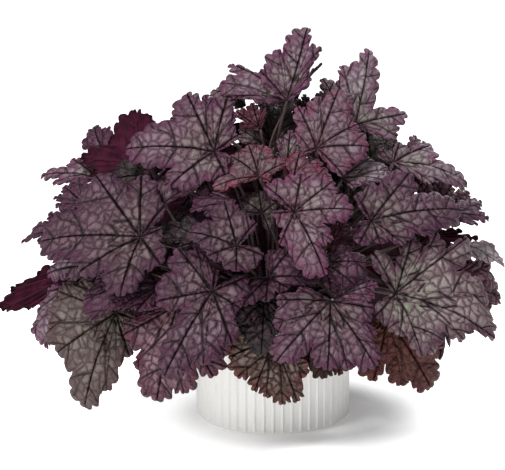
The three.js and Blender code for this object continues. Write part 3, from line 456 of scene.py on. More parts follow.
# Front leaves, from the rearmost to the foremost: node, tone, where the stalk meets the blade as (right, up,
# y), the yaw and pitch of the face that is seen, the ends of the lobes in turn from one side of the cleft
# round to the other, as "right,up", and the notches between them where they aren't at the common depth.
FRONT_LEAVES = [
    ("leaf_group_top_rear", "grey", (90, 123, 40), (15, 30), "68,125 64,143 72,161 95,156 109,141", ""),
    ("leaf_group_top_rear", "purple", (61, 114, 30), (-5, 30), "39,123 45,138 53,145 64,140 78,127", ""),
    ("leaf_group_left_rear", "taupe", (-97, 85, 15), (-20, 35),
     "-118,108 -106,120 -93,114 -89,103 -79,92", ""),
    ("leaf_group_left_rear", "purple", (-147, 75, 25), (-30, 35),
     "-172,95 -164,113 -152,108 -136,98", "-169,105 -158,112 -143,104"),
    ("leaf_group_right_rear", "mauve", (157, 69, 15), (25, 40), "140,77 149,89 167,102 184,94 183,79", ""),
    ("leaf_group_top_rear", "grey", (-7, 133, 15), (-20, 45),
     "-17,127 -34,130 -48,136 -43,150 -29,156", ""),
    ("leaf_group_left_rear", "taupe", (-48, 108, 0), (-20, 40), "-77,109 -85,120 -71,127 -54,131", ""),
    ("leaf_group_left_rear", "grey", (12, 92, 10), (-10, 35), "-15,100 -14,110 -3,116 10,118", ""),
    ("leaf_group_top_rear", "under", (46, 140, 34), (75, -37), "75,173 68,167 61,160 65,170 57,163", ""),
    ("leaf_top", "mauve", (35, 136, 0), (12, 30),
     "6,163 25,185 56,211 68,186 57,158", "13,170 29,182 56,188 56,164"),
    ("leaf_top_left", "mauve", (38, 138, -12), (-15, 50),
     "28,131 4,131 -19,138 -34,156 -23,175 10,161", "16,132 -10,135 -22,142 -15,161 3,163"),
    ("leaf_hollow", "shade", (22, 90, -15), (-5, 50), "-3,127 13,140 43,143 48,114 61,79", ""),
    ("leaf_top_right", "greypink", (105, 113, -12), (18, 32),
     "84,154 91,172 119,190 155,120 146,98", "88,161 107,174 122,127 145,109"),
    ("leaf_left_high", "mauve", (-159, 58, -5), (-30, 55), "-186,46 -204,49 -217,58 -184,74 -169,77", ""),
    ("leaf_left_under", "under", (-120, 77, -25), (-25, 25),
     "-109,125 -124,129 -149,99 -176,80 -166,65", "-116,126 -140,117 -159,91 -172,72"),
    ("leaf_group_right_rear", "grey", (143, 72, -22), (20, 40), "128,81 130,91 144,93 155,80", ""),
    ("leaf_right_high", "greypink", (145, 74, -34), (28, 55),
     "149,90 181,86 221,52 181,48 161,57", "157,83 184,71 200,49 170,52"),
    ("leaf_group_right_rear", "maroon", (185, 20, -35), (40, 35), "162,55 200,50 219,41 235,32 224,15", ""),
    ("leaf_left_mid_small", "purple", (-162, 22, -40), (-35, 40),
     "-182,13 -198,26 -201,36 -194,50 -176,57", ""),
    ("leaf_left_mid_small", "purple", (-182, 3, -48), (-40, 45),
     "-217,-12 -238,-8 -226,7 -206,18 -188,22", ""),
    ("leaf_left_inner", "olive", (-104, 59, -45), (-25, 40),
     "-124,42 -146,56 -140,70 -118,80 -87,70", "-135,48 -145,63 -129,77 -102,77"),
    ("leaf_left_inner", "mauve", (-90, 32, -60), (-15, 35), "-112,48 -108,71 -87,59 -77,48 -54,52", ""),
    ("leaf_right_mid_low", "pale", (218, -11, -35), (40, 50),
     "247,-13 260,-30 247,-28 231,-28", "254,-21 254,-30 240,-29"),
    ("leaf_right_mid_low", "mauve", (193, 20, -62), (35, 40), "234,30 245,18 230,8 211,8", ""),
    ("leaf_right_maroon", "maroon", (193, -53, -62), (35, 25),
     "220,-26 242,-31 257,-63 244,-76 209,-70", "231,-27 252,-46 253,-71 226,-74"),
    ("leaf_right_maroon", "under", (181, -1, -72), (30, 20),
     "166,-18 196,-14 209,-13 230,-4 216,6 193,8", ""),
    ("leaf_far_left", "under", (-181, -34, -50), (-30, 10),
     "-225,-42 -248,-56 -256,-76 -235,-76 -213,-67", "-237,-48 -254,-66 -247,-78 -224,-72"),
    ("leaf_left_low", "mauve", (-180, -53, -62), (-40, 15),
     "-196,-106 -216,-116 -226,-100 -216,-79 -206,-59", "-206,-107 -222,-109 -218,-86 -210,-67"),
    ("leaf_left_low", "mauve", (-151, -30, -60), (-40, 30),
     "-165,-67 -186,-59 -210,-40 -204,-22 -167,-13", ""),
    ("leaf_centre_small", "grey", (36, 74, -52), (0, 35), "24,82 26,97 39,108 49,100 52,86", ""),
    ("leaf_centre_small", "maroon", (8, 108, -22), (-10, 25), "-13,113 -17,127 0,135 12,131", ""),
    ("leaf_upper_right", "rose", (66, 89, -62), (5, 36),
     "52,82 46,129 68,140 89,150 107,111 118,88 92,59", "46,108 56,123 78,143 99,120 107,102 99,71"),
    ("leaf_upper_left", "lilac", (-39, 85, -62), (-12, 38),
     "-21,74 -27,59 -82,47 -129,86 -68,146 -46,139 -24,136 -14,118 -14,98",
     "-25,67 -47,52 -81,66 -77,113 -51,133 -39,130 -18,126 -19,108"),
    ("leaf_right_inner", "greypink", (92, 58, -68), (12, 48),
     "121,77 140,65 144,52 124,47 104,45", "136,71 143,59 130,51 112,50"),
    ("leaf_young_red", "youngred", (42, 54, -82), (0, 48), "27,76 49,86 66,78 81,60 81,39", ""),
    ("leaf_young_grey", "young", (7, 59, -86), (-5, 48), "-40,47 -23,79 -4,90 12,91 34,70 18,52", ""),
    ("leaf_shadow_left", "olive", (-49, -8, -108), (-15, 50), "-74,-16 -91,-8 -92,11 -68,15", ""),
    ("leaf_shadow_left", "purple", (-17, 30, -104), (-10, 45), "-48,18 -64,24 -61,37 -42,40", ""),
    ("leaf_shadow_right", "shade", (10, 22, -98), (-5, 35), "-11,22 -13,38 6,46 24,32 18,3", ""),
    ("leaf_shadow_right", "maroon", (77, -19, -112), (5, 35), "86,11 95,14 106,6 104,-10", ""),
    ("leaf_left_large", "greylilac", (-115, -3, -104), (-22, 38),
     "-91,3 -92,-34 -134,-65 -175,-42 -220,-6 -159,58 -111,57 -88,26",
     "-94,-9 -108,-38 -149,-39 -183,-28 -178,24 -125,42 -97,38"),
    ("leaf_right_middle", "lilac", (122, 14, -100), (20, 42),
     "104,38 159,59 215,27 184,-5 153,-14 129,-12 108,-13 104,5",
     "127,46 163,38 189,6 163,-2 138,-8 122,-7 102,-5"),
    ("leaf_left_hanging", "taupe", (-139, -79, -90), (-22, 8),
     "-115,-86 -122,-123 -146,-158 -174,-178 -197,-120 -206,-90 -195,-57 -172,-47",
     "-122,-102 -133,-134 -155,-163 -182,-139 -208,-104 -204,-73 -184,-50"),
    ("leaf_left_purple", "purple", (-89, -50, -116), (-15, 48),
     "-117,-83 -138,-79 -166,-88 -175,-65 -161,-46", "-126,-76 -148,-82 -172,-75 -172,-55"),
    ("leaf_right_brown", "redbrown", (138, -83, -100), (15, 2),
     "194,-112 185,-159 152,-154 121,-148 98,-120", "187,-127 160,-149 134,-130 109,-133"),
    ("leaf_front_slate", "slate", (12, -67, -138), (0, 18),
     "36,-75 27,-101 9,-123 -12,-103 -21,-78", "32,-88 23,-113 -5,-106 -17,-91"),
    ("leaf_front_pink", "pink", (-77, -73, -124), (-10, 12),
     "-24,-120 -39,-145 -71,-163 -99,-171 -120,-134 -130,-102 -110,-79",
     "-29,-127 -56,-136 -82,-158 -115,-143 -113,-117 -125,-88"),
    ("leaf_front_brown", "brown", (65, -96, -104), (5, 8),
     "94,-120 91,-144 74,-147 54,-135 45,-112", "97,-135 82,-140 61,-140 48,-122"),
    ("leaf_front_bronze", "bronze", (22, -105, -112), (0, 8),
     "56,-143 46,-171 31,-174 14,-166 2,-160 -16,-146 -24,-124 -17,-90",
     "51,-160 39,-166 20,-165 7,-156 -2,-144 -22,-130 -21,-106"),
    ("leaf_front_vivid", "vivid", (16, -45, -140), (0, 42),
     "19,-18 41,-15 68,-46 37,-58 14,-70 -10,-73 -7,-50", "30,-18 55,-28 46,-54 23,-60 7,-67 -10,-61"),
    ("leaf_front_magenta", "vivid", (72, -29, -136), (10, 35),
     "100,-14 117,-30 104,-52 80,-59", "111,-20 115,-41 88,-50"),
    ("leaf_centre", "greylilac", (-16, -12, -134), (-5, 42),
     "11,-25 -16,-41 -45,-26 -66,0 -30,36 4,9", "-2,-38 -31,-30 -52,-14 -40,11 -13,20"),
    ("leaf_centre_right", "pinklilac", (43, 23, -124), (8, 36),
     "12,46 49,58 81,49 102,22 80,-9 74,-43 27,-14 20,18", "32,52 65,55 83,37 70,9 68,-13 40,-25 31,4"),
    ("leaf_right_large", "palelilac", (147, -61, -122), (24, 34),
     "118,-24 157,-8 181,-5 218,-6 240,-67 248,-108 211,-113 167,-130 144,-109 121,-89",
     "143,-38 165,-26 189,-23 203,-43 246,-89 222,-102 189,-104 152,-110 134,-97"),
    ("leaf_front_fold", "pinklilac", (84, -66, -150), (12, 45), "102,-45 117,-43 128,-52 125,-64", ""),
    ("leaf_front_left", "purplelilac", (-41, -59, -148), (-8, 36),
     "-4,-46 -13,-78 -20,-114 -49,-136 -90,-147 -98,-72 -75,-18 -56,-16 -37,-36",
     "-10,-68 -19,-89 -32,-116 -60,-130 -71,-78 -81,-41 -64,-26 -46,-29"),
    ("leaf_front_right", "lilac", (80, -69, -154), (8, 36),
     "123,-79 126,-103 125,-138 97,-139 77,-139 25,-130 23,-94 25,-70 46,-59",
     "116,-92 121,-112 106,-136 89,-133 60,-118 29,-101 25,-86 32,-64"),
    ("leaf_inner_right", "shade", (123, 65, 40), (15, 45), "92,69 100,98 112,120 142,104 152,71", ""),
    ("leaf_inner_right", "shade", (93, 15, 22), (5, 40), "61,13 70,48 93,67 117,46 123,11", ""),
]
# Leaves of this tone show their underside.
BACK_TONE = "under"

# Rear leaves, in rings from the lowest to the highest, two leaves to a node. A ring's sweep is the angle it
# takes up round the plant, widening stretches it sideways, and rearward turns the way its leaves were moved.
Ring = namedtuple("Ring", "leaves height radius widening sweep pitch reach rearward")
REAR_RINGS = [
    Ring(9, 128, 150, 1.06, 216, 14, 96, 0),
    Ring(7, 192, 140, 1.12, 192, 30, 98, 0),
    Ring(6, 240, 100, 1.08, 176, 42, 94, 1),
    Ring(3, 282, 52, 1.1, 160, 56, 78, 1),
    Ring(3, 226, 92, 1, 300, 34, 86, 0),
]
# How far the rear leaves stray from their rings, in degrees, millimetres and shares, and in radians for the
# turn and the lobes' angles.
STRAY = {
    "azimuth": 5,
    "place": 8,
    "yaw": 10,
    "pitch": 7,
    "turn": 0.5,
    "reach": (0.88, 1.1),
    "lobe_angle": 0.1,
    "lobe_reach": (0.9, 1.08),
}
# A rear leaf's direction: this much outwards to one downwards. Its lobes, as degrees and shares of its reach.
REAR_LEAN = 0.3
REAR_LOBES = [(-112, 0.64), (-50, 0.8), (0, 1), (50, 0.8), (112, 0.64)]
REAR_TONES = ["lilac", "mauve", "purple", "greylilac"]
# Every blade's form, drawn for each leaf: arch, ruffle and cup are shares of its reach.
RELIEF = {"arch": (0.07, 0.13), "ruffle": (0.03, 0.055), "waves": (3, 6), "cup": (-0.06, 0.1)}
FRONT_SEED = 11
RING_SEED = 500
REAR_SEED = 900

# A leaf was moved by whole steps until it lay clear of those beneath it, and its solid's tip shows how far.
# Steps, thickness and tolerance are in millimetres.
LAYER_STEP = 1.5
LAYER_MOST = 60
CAD_THICKNESS = 0.9
TIP_TOLERANCE = 0.05

# The Park-Miller generator, and what a seed is first multiplied by.
MODULUS = 2147483647
FACTOR = 16807
SPREAD = 7919


def draws_from(seed):
    """A function that gives the next number of a seeded row, between two limits."""
    state = (seed * SPREAD) % MODULUS

    def draw(low, high):
        nonlocal state
        state = (state * FACTOR) % MODULUS
        return low + (high - low) * (state / MODULUS)

    return draw


def unit(vector):
    return vector / np.linalg.norm(vector)


def face_direction(yaw, pitch):
    yaw, pitch = yaw * DEGREE, pitch * DEGREE
    return np.array([math.sin(yaw) * math.cos(pitch), -math.cos(yaw) * math.cos(pitch), math.sin(pitch)])


def elevation_ray(right, up):
    return unit(ELEVATION_CENTRE + RIGHTWARDS * right + UPWARDS * up - EYE)


def point_at_depth(right, up, depth):
    ray = elevation_ray(right, up)
    return EYE + ray * (depth - EYE[1]) / ray[1]


def point_on_plane(right, up, origin, normal):
    ray = elevation_ray(right, up)
    return EYE + ray * ((origin - EYE) @ normal) / (ray @ normal)


def in_turn(polars):
    """Pairs of angle and reach, the angles raised by whole turns so that each follows the one before."""
    raised = []
    for angle, reach in polars:
        while raised and angle < raised[-1][0]:
            angle += 2 * math.pi
        raised.append((angle, reach))
    return raised


class Leaf:
    """A blade as it was laid out: its plane, its lobes as angles and reaches, and its relief."""

    def __init__(self, node, tone, seed, junction, normal, along, away, steps, lobes, sinuses):
        self.node = node
        self.tone = tone
        self.normal = normal
        self.along = along
        self.across = np.cross(along, normal)
        self.lobes = lobes
        self.sinuses = sinuses
        self.tip = max(lobes, key=lambda lobe: lobe[1])
        self.reach = self.tip[1]
        draw = draws_from(seed)
        self.arch = draw(*RELIEF["arch"])
        self.ruffle = draw(*RELIEF["ruffle"])
        self.waves = math.floor(draw(*RELIEF["waves"]))
        self.phase = draw(0, 2 * math.pi)
        self.cup = draw(*RELIEF["cup"])
        self.draw = draw
        self.junction = self.laid(junction, away, steps)

    def height(self, plan):
        """Height of the blade's middle surface over its plane."""
        x, y = plan[..., 0], plan[..., 1]
        share = np.hypot(x, y) / self.reach
        arch = 4 * self.arch * share * (1 - share)
        ruffle = self.ruffle * share**2 * np.sin(self.waves * np.arctan2(x, y) + self.phase)
        return self.reach * (arch + ruffle + self.cup * (x / self.reach) ** 2)

    def placed(self, plan, lift):
        """Points of the plan in the object's own frame, lifted off the blade's middle surface."""
        rise = self.height(plan) + lift
        return plan[:, :1] * self.across + plan[:, 1:] * self.along + rise[:, None] * self.normal

    def laid(self, junction, away, steps):
        """Where the junction came to lie, found from the tip of the blade's solid."""
        tip = junction + self.placed(flat([self.tip]), CAD_THICKNESS / 2)[0]
        corners = solid_corners(self.node)
        for step in steps:
            shift = away * step * LAYER_STEP
            if np.linalg.norm(corners - (tip + shift), axis=1).min() < TIP_TOLERANCE:
                return junction + shift
        raise ValueError(self.node + " has no tip where its plan puts one")


def solid_corners(node):
    """A CAD node's vertices, in millimetres."""
    mesh = frame["nodes"][node].data
    corners = np.zeros(len(mesh.vertices) * 3)
    mesh.vertices.foreach_get("co", corners)
    return corners.reshape(-1, 3) / MM


def flat(polars):
    """Plan points from pairs of angle and reach."""
    angles, reaches = np.asarray(polars, float).T
    return np.stack([reaches * np.sin(angles), reaches * np.cos(angles)], 1)


OUTWARD_STEPS = list(range(LAYER_MOST + 1))
NEAREST_STEPS = [0] + [sign * step for step in OUTWARD_STEPS[1:] for sign in (1, -1)]


def front_leaf(index, row):
    node, tone, (right, up, depth), facing, tips, sinuses = row
    junction = point_at_depth(right, up, depth)
    face = face_direction(*facing)

    def corners_at(places):
        pairs = [map(int, place.split(",")) for place in places.split()]
        return [point_on_plane(*pair, junction, face) - junction for pair in pairs]

    corners = corners_at(tips)
    normal = -face if tone == BACK_TONE else face
    along = unit(max(corners, key=np.linalg.norm))
    across = np.cross(along, normal)

    def polar(corner):
        return math.atan2(corner @ across, corner @ along), np.linalg.norm(corner)

    lobes = in_turn([polar(corner) for corner in corners])
    given = [in_turn([lobe, polar(notch)])[1] for lobe, notch in zip(lobes, corners_at(sinuses))]
    seed = FRONT_SEED + index
    sinuses = given or sinuses_between(lobes)
    return Leaf(node, tone, seed, junction, normal, along, TOWARDS_VIEWER, OUTWARD_STEPS, lobes, sinuses)


def rear_leaf(ring, place, number, draw):
    """One leaf of a ring, hanging outwards and down the slope of the ring."""

    def stray(name):
        return draw(-STRAY[name], STRAY[name])

    azimuth = ((place + 0.5) / ring.leaves - 0.5) * ring.sweep + stray("azimuth")
    outward = face_direction(180 - azimuth, 0)
    yaw = 180 - azimuth + stray("yaw")
    normal = face_direction(yaw, ring.pitch + stray("pitch"))
    junction = outward * (ring.radius + stray("place"))
    junction[0] *= ring.widening
    junction[2] = ring.height + stray("place")
    down = outward * REAR_LEAN - UP
    along = unit(down - normal * (down @ normal))
    turn = Matrix.Rotation(stray("turn"), 3, Vector(normal))
    along = np.array(turn @ Vector(along))
    reach = ring.reach * draw(*STRAY["reach"])
    lobes = []
    for angle, share in REAR_LOBES:
        turned = angle * DEGREE + (stray("lobe_angle") if angle else 0)
        lobes.append((turned, share * reach * (draw(*STRAY["lobe_reach"]) if angle else 1)))
    node = f"leaf_rear_{number // 2 + 1:02d}"
    tone = REAR_TONES[math.floor(draw(0, len(REAR_TONES)))]
    away = unit(outward - TOWARDS_VIEWER * ring.rearward)
    seed = REAR_SEED + number
    sinuses = sinuses_between(lobes)
    return Leaf(node, tone, seed, junction, normal, along, away, NEAREST_STEPS, lobes, sinuses)


def all_leaves():
    """Every leaf; every other ring runs back the other way, so that a node's leaves stand side by side."""
    leaves = [front_leaf(index, row) for index, row in enumerate(FRONT_LEAVES)]
    number = 0
    for level, ring in enumerate(REAR_RINGS):
        draw = draws_from(RING_SEED + level)
        for turn in range(ring.leaves):
            place = ring.leaves - 1 - turn if level % 2 else turn
            leaves.append(rear_leaf(ring, place, number, draw))
            number += 1
    return leaves


# ---- a blade's margin

# A sinus lies at this share of the shorter lobe beside it, by how far apart the lobes stand.
SINUS_DEPTH = 0.8
CLOSE_SINUS_DEPTH = 0.9
WIDE_ANGLE = 46 * DEGREE
OPEN_SINUS_DEPTH = 0.66
OPEN_ANGLE = 16 * DEGREE
# A lobe's side is a curve: how it leaves the sinus, and how wide and blunt it ends at the tip.
SHOULDER = 0.3
SHOULDER_LEAN = 3 * DEGREE
TIP_WIDTH = 0.3
TIP_BLUNTNESS = 0.99
CLEFT_BREADTH = 0.28
# The cleft where the stalk meets the blade.
CLEFT_REACH = 0.16
CLEFT_OPENING = 30 * DEGREE
CLEFT_MARGIN = 3 * DEGREE
SECTOR_MARGIN = 0.8 * DEGREE
# Low waves along the margin, as a share of the lobe's reach, and how soon they rise and how late they end.
TOOTH = 0.015
TEETH = 1.5
TOOTH_LEVEL = 0.4
TOOTH_RISE = 1.5
TOOTH_END = 6
# Scallops on them: one takes this share of the leaf's reach and this many millimetres of margin more.
SCALLOP_SHARE = 0.1
SCALLOP_LEAST = 7
SCALLOP_SPARE = 0.15
SCALLOP_DEPTH = 0.085
SCALLOP_DEEPEST = 5.2
SCALLOP_LEVEL = 0.6
SCALLOP_ROUNDNESS = 0.6
SCALLOP_END = 10
MARGIN_SAMPLES = 65


def lerp(low, high, share):
    return low + (high - low) * share


def openness(half_angle):
    """From 0 at a lobe of common width to 1 where the sinus lies far from the lobe's vein."""
    return min(1, max(0, (half_angle - WIDE_ANGLE / 2) / OPEN_ANGLE))


def sinuses_between(lobes):
    """The low points of the margin between lobes: deeper between lobes that stand wider apart."""
    sinuses = []
    for left, right in zip(lobes, lobes[1:]):
        gap = right[0] - left[0]
        common = lerp(CLOSE_SINUS_DEPTH, SINUS_DEPTH, min(1, gap / WIDE_ANGLE))
        depth = lerp(common, OPEN_SINUS_DEPTH, openness(gap / 2))
        sinuses.append(((left[0] + right[0]) / 2, depth * min(left[1], right[1])))
    return sinuses


def cleft_points(lobes):
    first, last = lobes[0], lobes[-1]
    gap = 2 * math.pi - (last[0] - first[0])
    opening = min(CLEFT_OPENING, gap / 2 - CLEFT_MARGIN)
    return (first[0] - opening, CLEFT_REACH * first[1]), (last[0] + opening, CLEFT_REACH * last[1])


def bezier(points, shares):
    a, b, c, d = (np.asarray(point)[None] for point in points)
    s = shares[:, None]
    return a * (1 - s) ** 3 + 3 * b * s * (1 - s) ** 2 + 3 * c * s**2 * (1 - s) + d * s**3


def even_shares(handles, count):
    """Shares of a curve's run at points that lie evenly along it."""
    shares = np.linspace(0, 1, MARGIN_SAMPLES)
    spans = np.hypot(*np.diff(bezier(handles, shares), axis=0).T)
    way = np.concatenate([[0], np.cumsum(spans)]) / spans.sum()
    return np.interp(np.linspace(0, 1, count), way, shares)


def margin_line(sinus, lobe, at_cleft, count, scallops):
    """The margin from a sinus to a lobe's tip, as so many points, with its waves and scallops."""
    start, end = flat([sinus, lobe])
    chord = end - start
    side = np.sign(sinus[0] - lobe[0])
    outside = side * unit(np.array([chord[1], -chord[0]]))
    half_sector = abs(sinus[0] - lobe[0])
    lean = lobe[0] + side * min(half_sector, SHOULDER_LEAN)
    breadth = CLEFT_BREADTH * lobe[1] if at_cleft else sinus[1] * math.sin(half_sector)
    shoulder = flat([(lean, SHOULDER * np.linalg.norm(chord))])[0]
    sideways = flat([(lobe[0] + side * math.pi / 2, min(TIP_WIDTH * lobe[1], breadth))])[0]
    handles = start, start + shoulder, end * TIP_BLUNTNESS + sideways, end
    shares = even_shares(handles, count)
    way = np.linspace(0, 1, count)
    line = bezier(handles, shares)
    tooth = np.abs(np.sin(TEETH * math.pi * shares)) - TOOTH_LEVEL
    rise = np.sin(math.pi / 2 * np.minimum(1, shares * TOOTH_RISE))
    coarse = TOOTH * lobe[1] * tooth * rise * (1 - shares**TOOTH_END)
    round_top = np.abs(np.sin(math.pi * scallops * way)) ** SCALLOP_ROUNDNESS - SCALLOP_LEVEL
    depth = min(SCALLOP_DEPTH * lobe[1], SCALLOP_DEEPEST)
    crenate = depth * round_top * rise * (1 - way**SCALLOP_END)
    run = np.gradient(line, axis=0)
    square = side * np.stack([run[:, 1], -run[:, 0]], 1) / np.hypot(*run.T)[:, None]
    line = line + coarse[:, None] * outside + crenate[:, None] * square
    return inside_sector(line, sinus[0], lobe[0])


def inside_sector(line, sinus_angle, lobe_angle):
    """Keeps the margin on its own lobe's side of the line from the stalk to the sinus."""
    reach = np.hypot(*line.T)
    turn = np.arctan2(line[:, 0], line[:, 1]) - lobe_angle
    turn = np.arctan2(np.sin(turn), np.cos(turn))
    limit = abs(sinus_angle - lobe_angle) - SECTOR_MARGIN
    held = flat(np.stack([lobe_angle + np.clip(turn, -limit, limit), reach], 1))
    ends = np.array([0, -1])
    held[ends] = line[ends]
    return held


# ---- what every piece needs

# Vertices closer than this, in metres, are merged.
DOUBLES = 0.00001


def select_only(*pieces):
    bpy.ops.object.select_all(action="DESELECT")
    for piece in pieces:
        piece.select_set(True)
    bpy.context.view_layer.objects.active = pieces[0]


def edit_all(operator, **settings):
    """Runs one edit-mode operator on the whole of the active piece."""
    bpy.ops.object.mode_set(mode="EDIT")
    bpy.ops.mesh.select_all(action="SELECT")
    operator(**settings)
    bpy.ops.object.mode_set(mode="OBJECT")


def finish_piece(piece, node, slot):
    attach(piece, "root")
    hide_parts(node)


finishes = {}


def finish_for(name):
    """The finish of that name, made when it is first asked for."""
    makers = {"underside": leaf_under_finish, "stalk": stalk_finish}
    if name not in finishes:
        finishes[name] = makers[name]() if name in makers else leaf_upper_finish(name)
    return finishes[name]


# ---- blades

# Rows of the mesh to each scallop, and its columns from the main vein to the margin, by the blade's reach.
ROWS_PER_SCALLOP = 6
BLADE_SIZES = [(78, 9), (48, 7), (0, 6)]
# Columns crowd towards the main vein, and rows between the junction and the sinus are this much wider.
COLUMN_CROWDING = 1.2
INNER_WIDENING = 1.4
# Side veins: one to so many scallops, slanting towards the tip and bowed. Between them lie forks, which
# start this share of the way out and bend to the margin from the next.
SCALLOPS_PER_VEIN = 2
VEIN_SLANT = 1.2
VEIN_BOW = 0.05
ON_A_VEIN = 0.01
MAIN_VEIN_APART = 31 * DEGREE
BRANCH_SHARE = 0.22
VEIN_STOP = 0.9
FORK_ROOT = 0.5
FORK_BEND = 0.8
# Relief in millimetres: the panels between the side veins, the main veins' grooves, the margin.
QUILT = 2.0
PANEL_SKEW = 0.75
PANEL_FULLNESS = 0.6
PANEL_ROUNDNESS = 0.8
GROOVE = 0.7
GROOVE_WIDTH = 1.5
CURL = 2.0
CURL_WIDTH = 4.0
EDGE_WAVE = 2.4
EDGE_WAVE_WIDTH = 9.0
EDGE_WAVES = (7, 11)
EDGE_WAVE_PHASE = (0, 6)
RELIEF_REACH = 90
# Half widths in millimetres: a main vein's at the junction and at the tip, and a side vein's at the margin
# and from so far in from it.
VEIN_WIDTHS = (0.75, 0.42)
SIDE_VEIN_WIDTHS = (0.34, 0.8)
SIDE_VEIN_FADE = 16
# Each leaf's plan map starts in its own place, so that no two have the same net.
PLAN_START = (0, 50)
# In metres.
BLADE_THICKNESS = 0.0007
# The least square of a vein's length that is divided by.
TINY = 1e-9


class HalfLobe:
    """Half a lobe as a comb: rows run from the main vein out to the margin, as the side veins do."""

    def __init__(self, lobe, sinus, at_cleft, columns, pitch):
        start, end = flat([sinus, lobe])
        inner = max(1, round(sinus[1] / pitch / INNER_WIDENING)) * ROWS_PER_SCALLOP
        chord = np.linalg.norm(end - start)
        whole = round(chord / pitch - SCALLOP_SPARE)
        outer = max(1, whole) * ROWS_PER_SCALLOP + ROWS_PER_SCALLOP // 2
        self.margin = margin_line(sinus, lobe, at_cleft, outer + 1, whole + 0.5)
        border = np.concatenate([np.linspace(0, 1, inner + 1)[:-1, None] * start, self.margin])
        spans = np.hypot(*np.diff(border, axis=0).T)
        way = np.concatenate([[0], np.cumsum(spans)]) / spans.sum()
        vein = way[:, None] ** VEIN_SLANT * end
        across = np.linspace(0, 1, columns + 1) ** COLUMN_CROWDING
        reach_out = border - vein
        self.grid = vein[:, None] + reach_out[:, None] * across[None, :, None]
        bow = VEIN_BOW * np.hypot(*reach_out.T)[:, None] * np.sin(math.pi * across)[None, :]
        self.grid = self.grid - bow[:, :, None] * unit(end)
        phase = ((np.arange(len(border)) - inner) / ROWS_PER_SCALLOP - 0.5) / SCALLOPS_PER_VEIN
        self.side_veins = self.forked_veins(phase, inner)
        window = np.sin(math.pi * across**PANEL_SKEW) ** PANEL_FULLNESS
        self.quilt = np.abs(np.sin(math.pi * phase))[:, None] ** PANEL_ROUNDNESS * window[None, :]
        self.turned = sinus[0] < lobe[0]

    def forked_veins(self, phase, inner):
        """Side veins along rows of the comb, and between them forks that reach the margin."""
        columns = self.grid.shape[1] - 1
        veins = []
        for row in range(1, len(phase) - 1):
            if abs(phase[row] - round(phase[row])) < ON_A_VEIN:
                veins.append(self.grid[row] if row > inner else self.grid[row, : round(columns * VEIN_STOP)])
            elif abs(phase[row] % 1 - 0.5) < ON_A_VEIN and row > inner:
                root = self.grid[row - ROWS_PER_SCALLOP, round(columns * FORK_ROOT)]
                veins.append(np.vstack([root, self.grid[row, round(columns * FORK_BEND):]]))
        return veins

    def faces(self, first):
        """The comb's quads, which turn anticlockwise seen from the leaf's upper face."""
        rows, columns = self.grid.shape[:2]
        index = first + np.arange(rows * columns).reshape(rows, columns)
        corners = [index[:-1, :-1], index[:-1, 1:], index[1:, 1:], index[1:, :-1]]
        quads = np.stack([corner.ravel() for corner in corners], 1)
        return quads[:, ::-1] if self.turned else quads


def distances(points, lines):
    """Each point's distance from the nearest of several lines, given as rows of points."""
    starts = np.concatenate([line[:-1] for line in lines])
    ends = np.concatenate([line[1:] for line in lines])
    run = ends - starts
    square = np.maximum((run**2).sum(1), TINY)
    offset = points[:, None] - starts[None]
    share = np.clip((offset * run[None]).sum(2) / square[None], 0, 1)
    gap = offset - share[:, :, None] * run[None]
    return np.sqrt((gap**2).sum(2)).min(1)


def half_lobes(leaf):
    """Every half lobe of a leaf, in turn."""
    columns = next(count for reach, count in BLADE_SIZES if leaf.reach >= reach)
    pitch = SCALLOP_SHARE * leaf.reach + SCALLOP_LEAST
    lobes = leaf.lobes
    first, last = cleft_points(lobes)
    sinuses = [first, *leaf.sinuses, last]
    halves = []
    for i, lobe in enumerate(lobes):
        halves.append(HalfLobe(lobe, sinuses[i], i == 0, columns, pitch))
        halves.append(HalfLobe(lobe, sinuses[i + 1], i + 1 == len(lobes), columns, pitch))
    return halves


def blade_lines(leaf, halves):
    """A leaf's main veins, side veins and margin, as lines in its plan."""
    main = []
    for lobe in sorted(leaf.lobes, key=lambda lobe: -lobe[1]):
        if all(abs(lobe[0] - other[0]) > MAIN_VEIN_APART for other in main):
            main.append(lobe)
    veins = [np.stack([np.zeros(2), flat([lobe])[0]]) for lobe in main]
    sides = [vein for half in halves for vein in half.side_veins]
    for lobe in leaf.lobes:
        nearest = min(main, key=lambda other: abs(lobe[0] - other[0]))
        if lobe is not nearest:
            root = flat([nearest])[0] * BRANCH_SHARE
            sides.append(np.stack([root, flat([lobe])[0]]))
    clefts = [np.stack([np.zeros(2), half.margin[0]]) for half in (halves[0], halves[-1])]
    return veins, sides, [half.margin for half in halves] + clefts


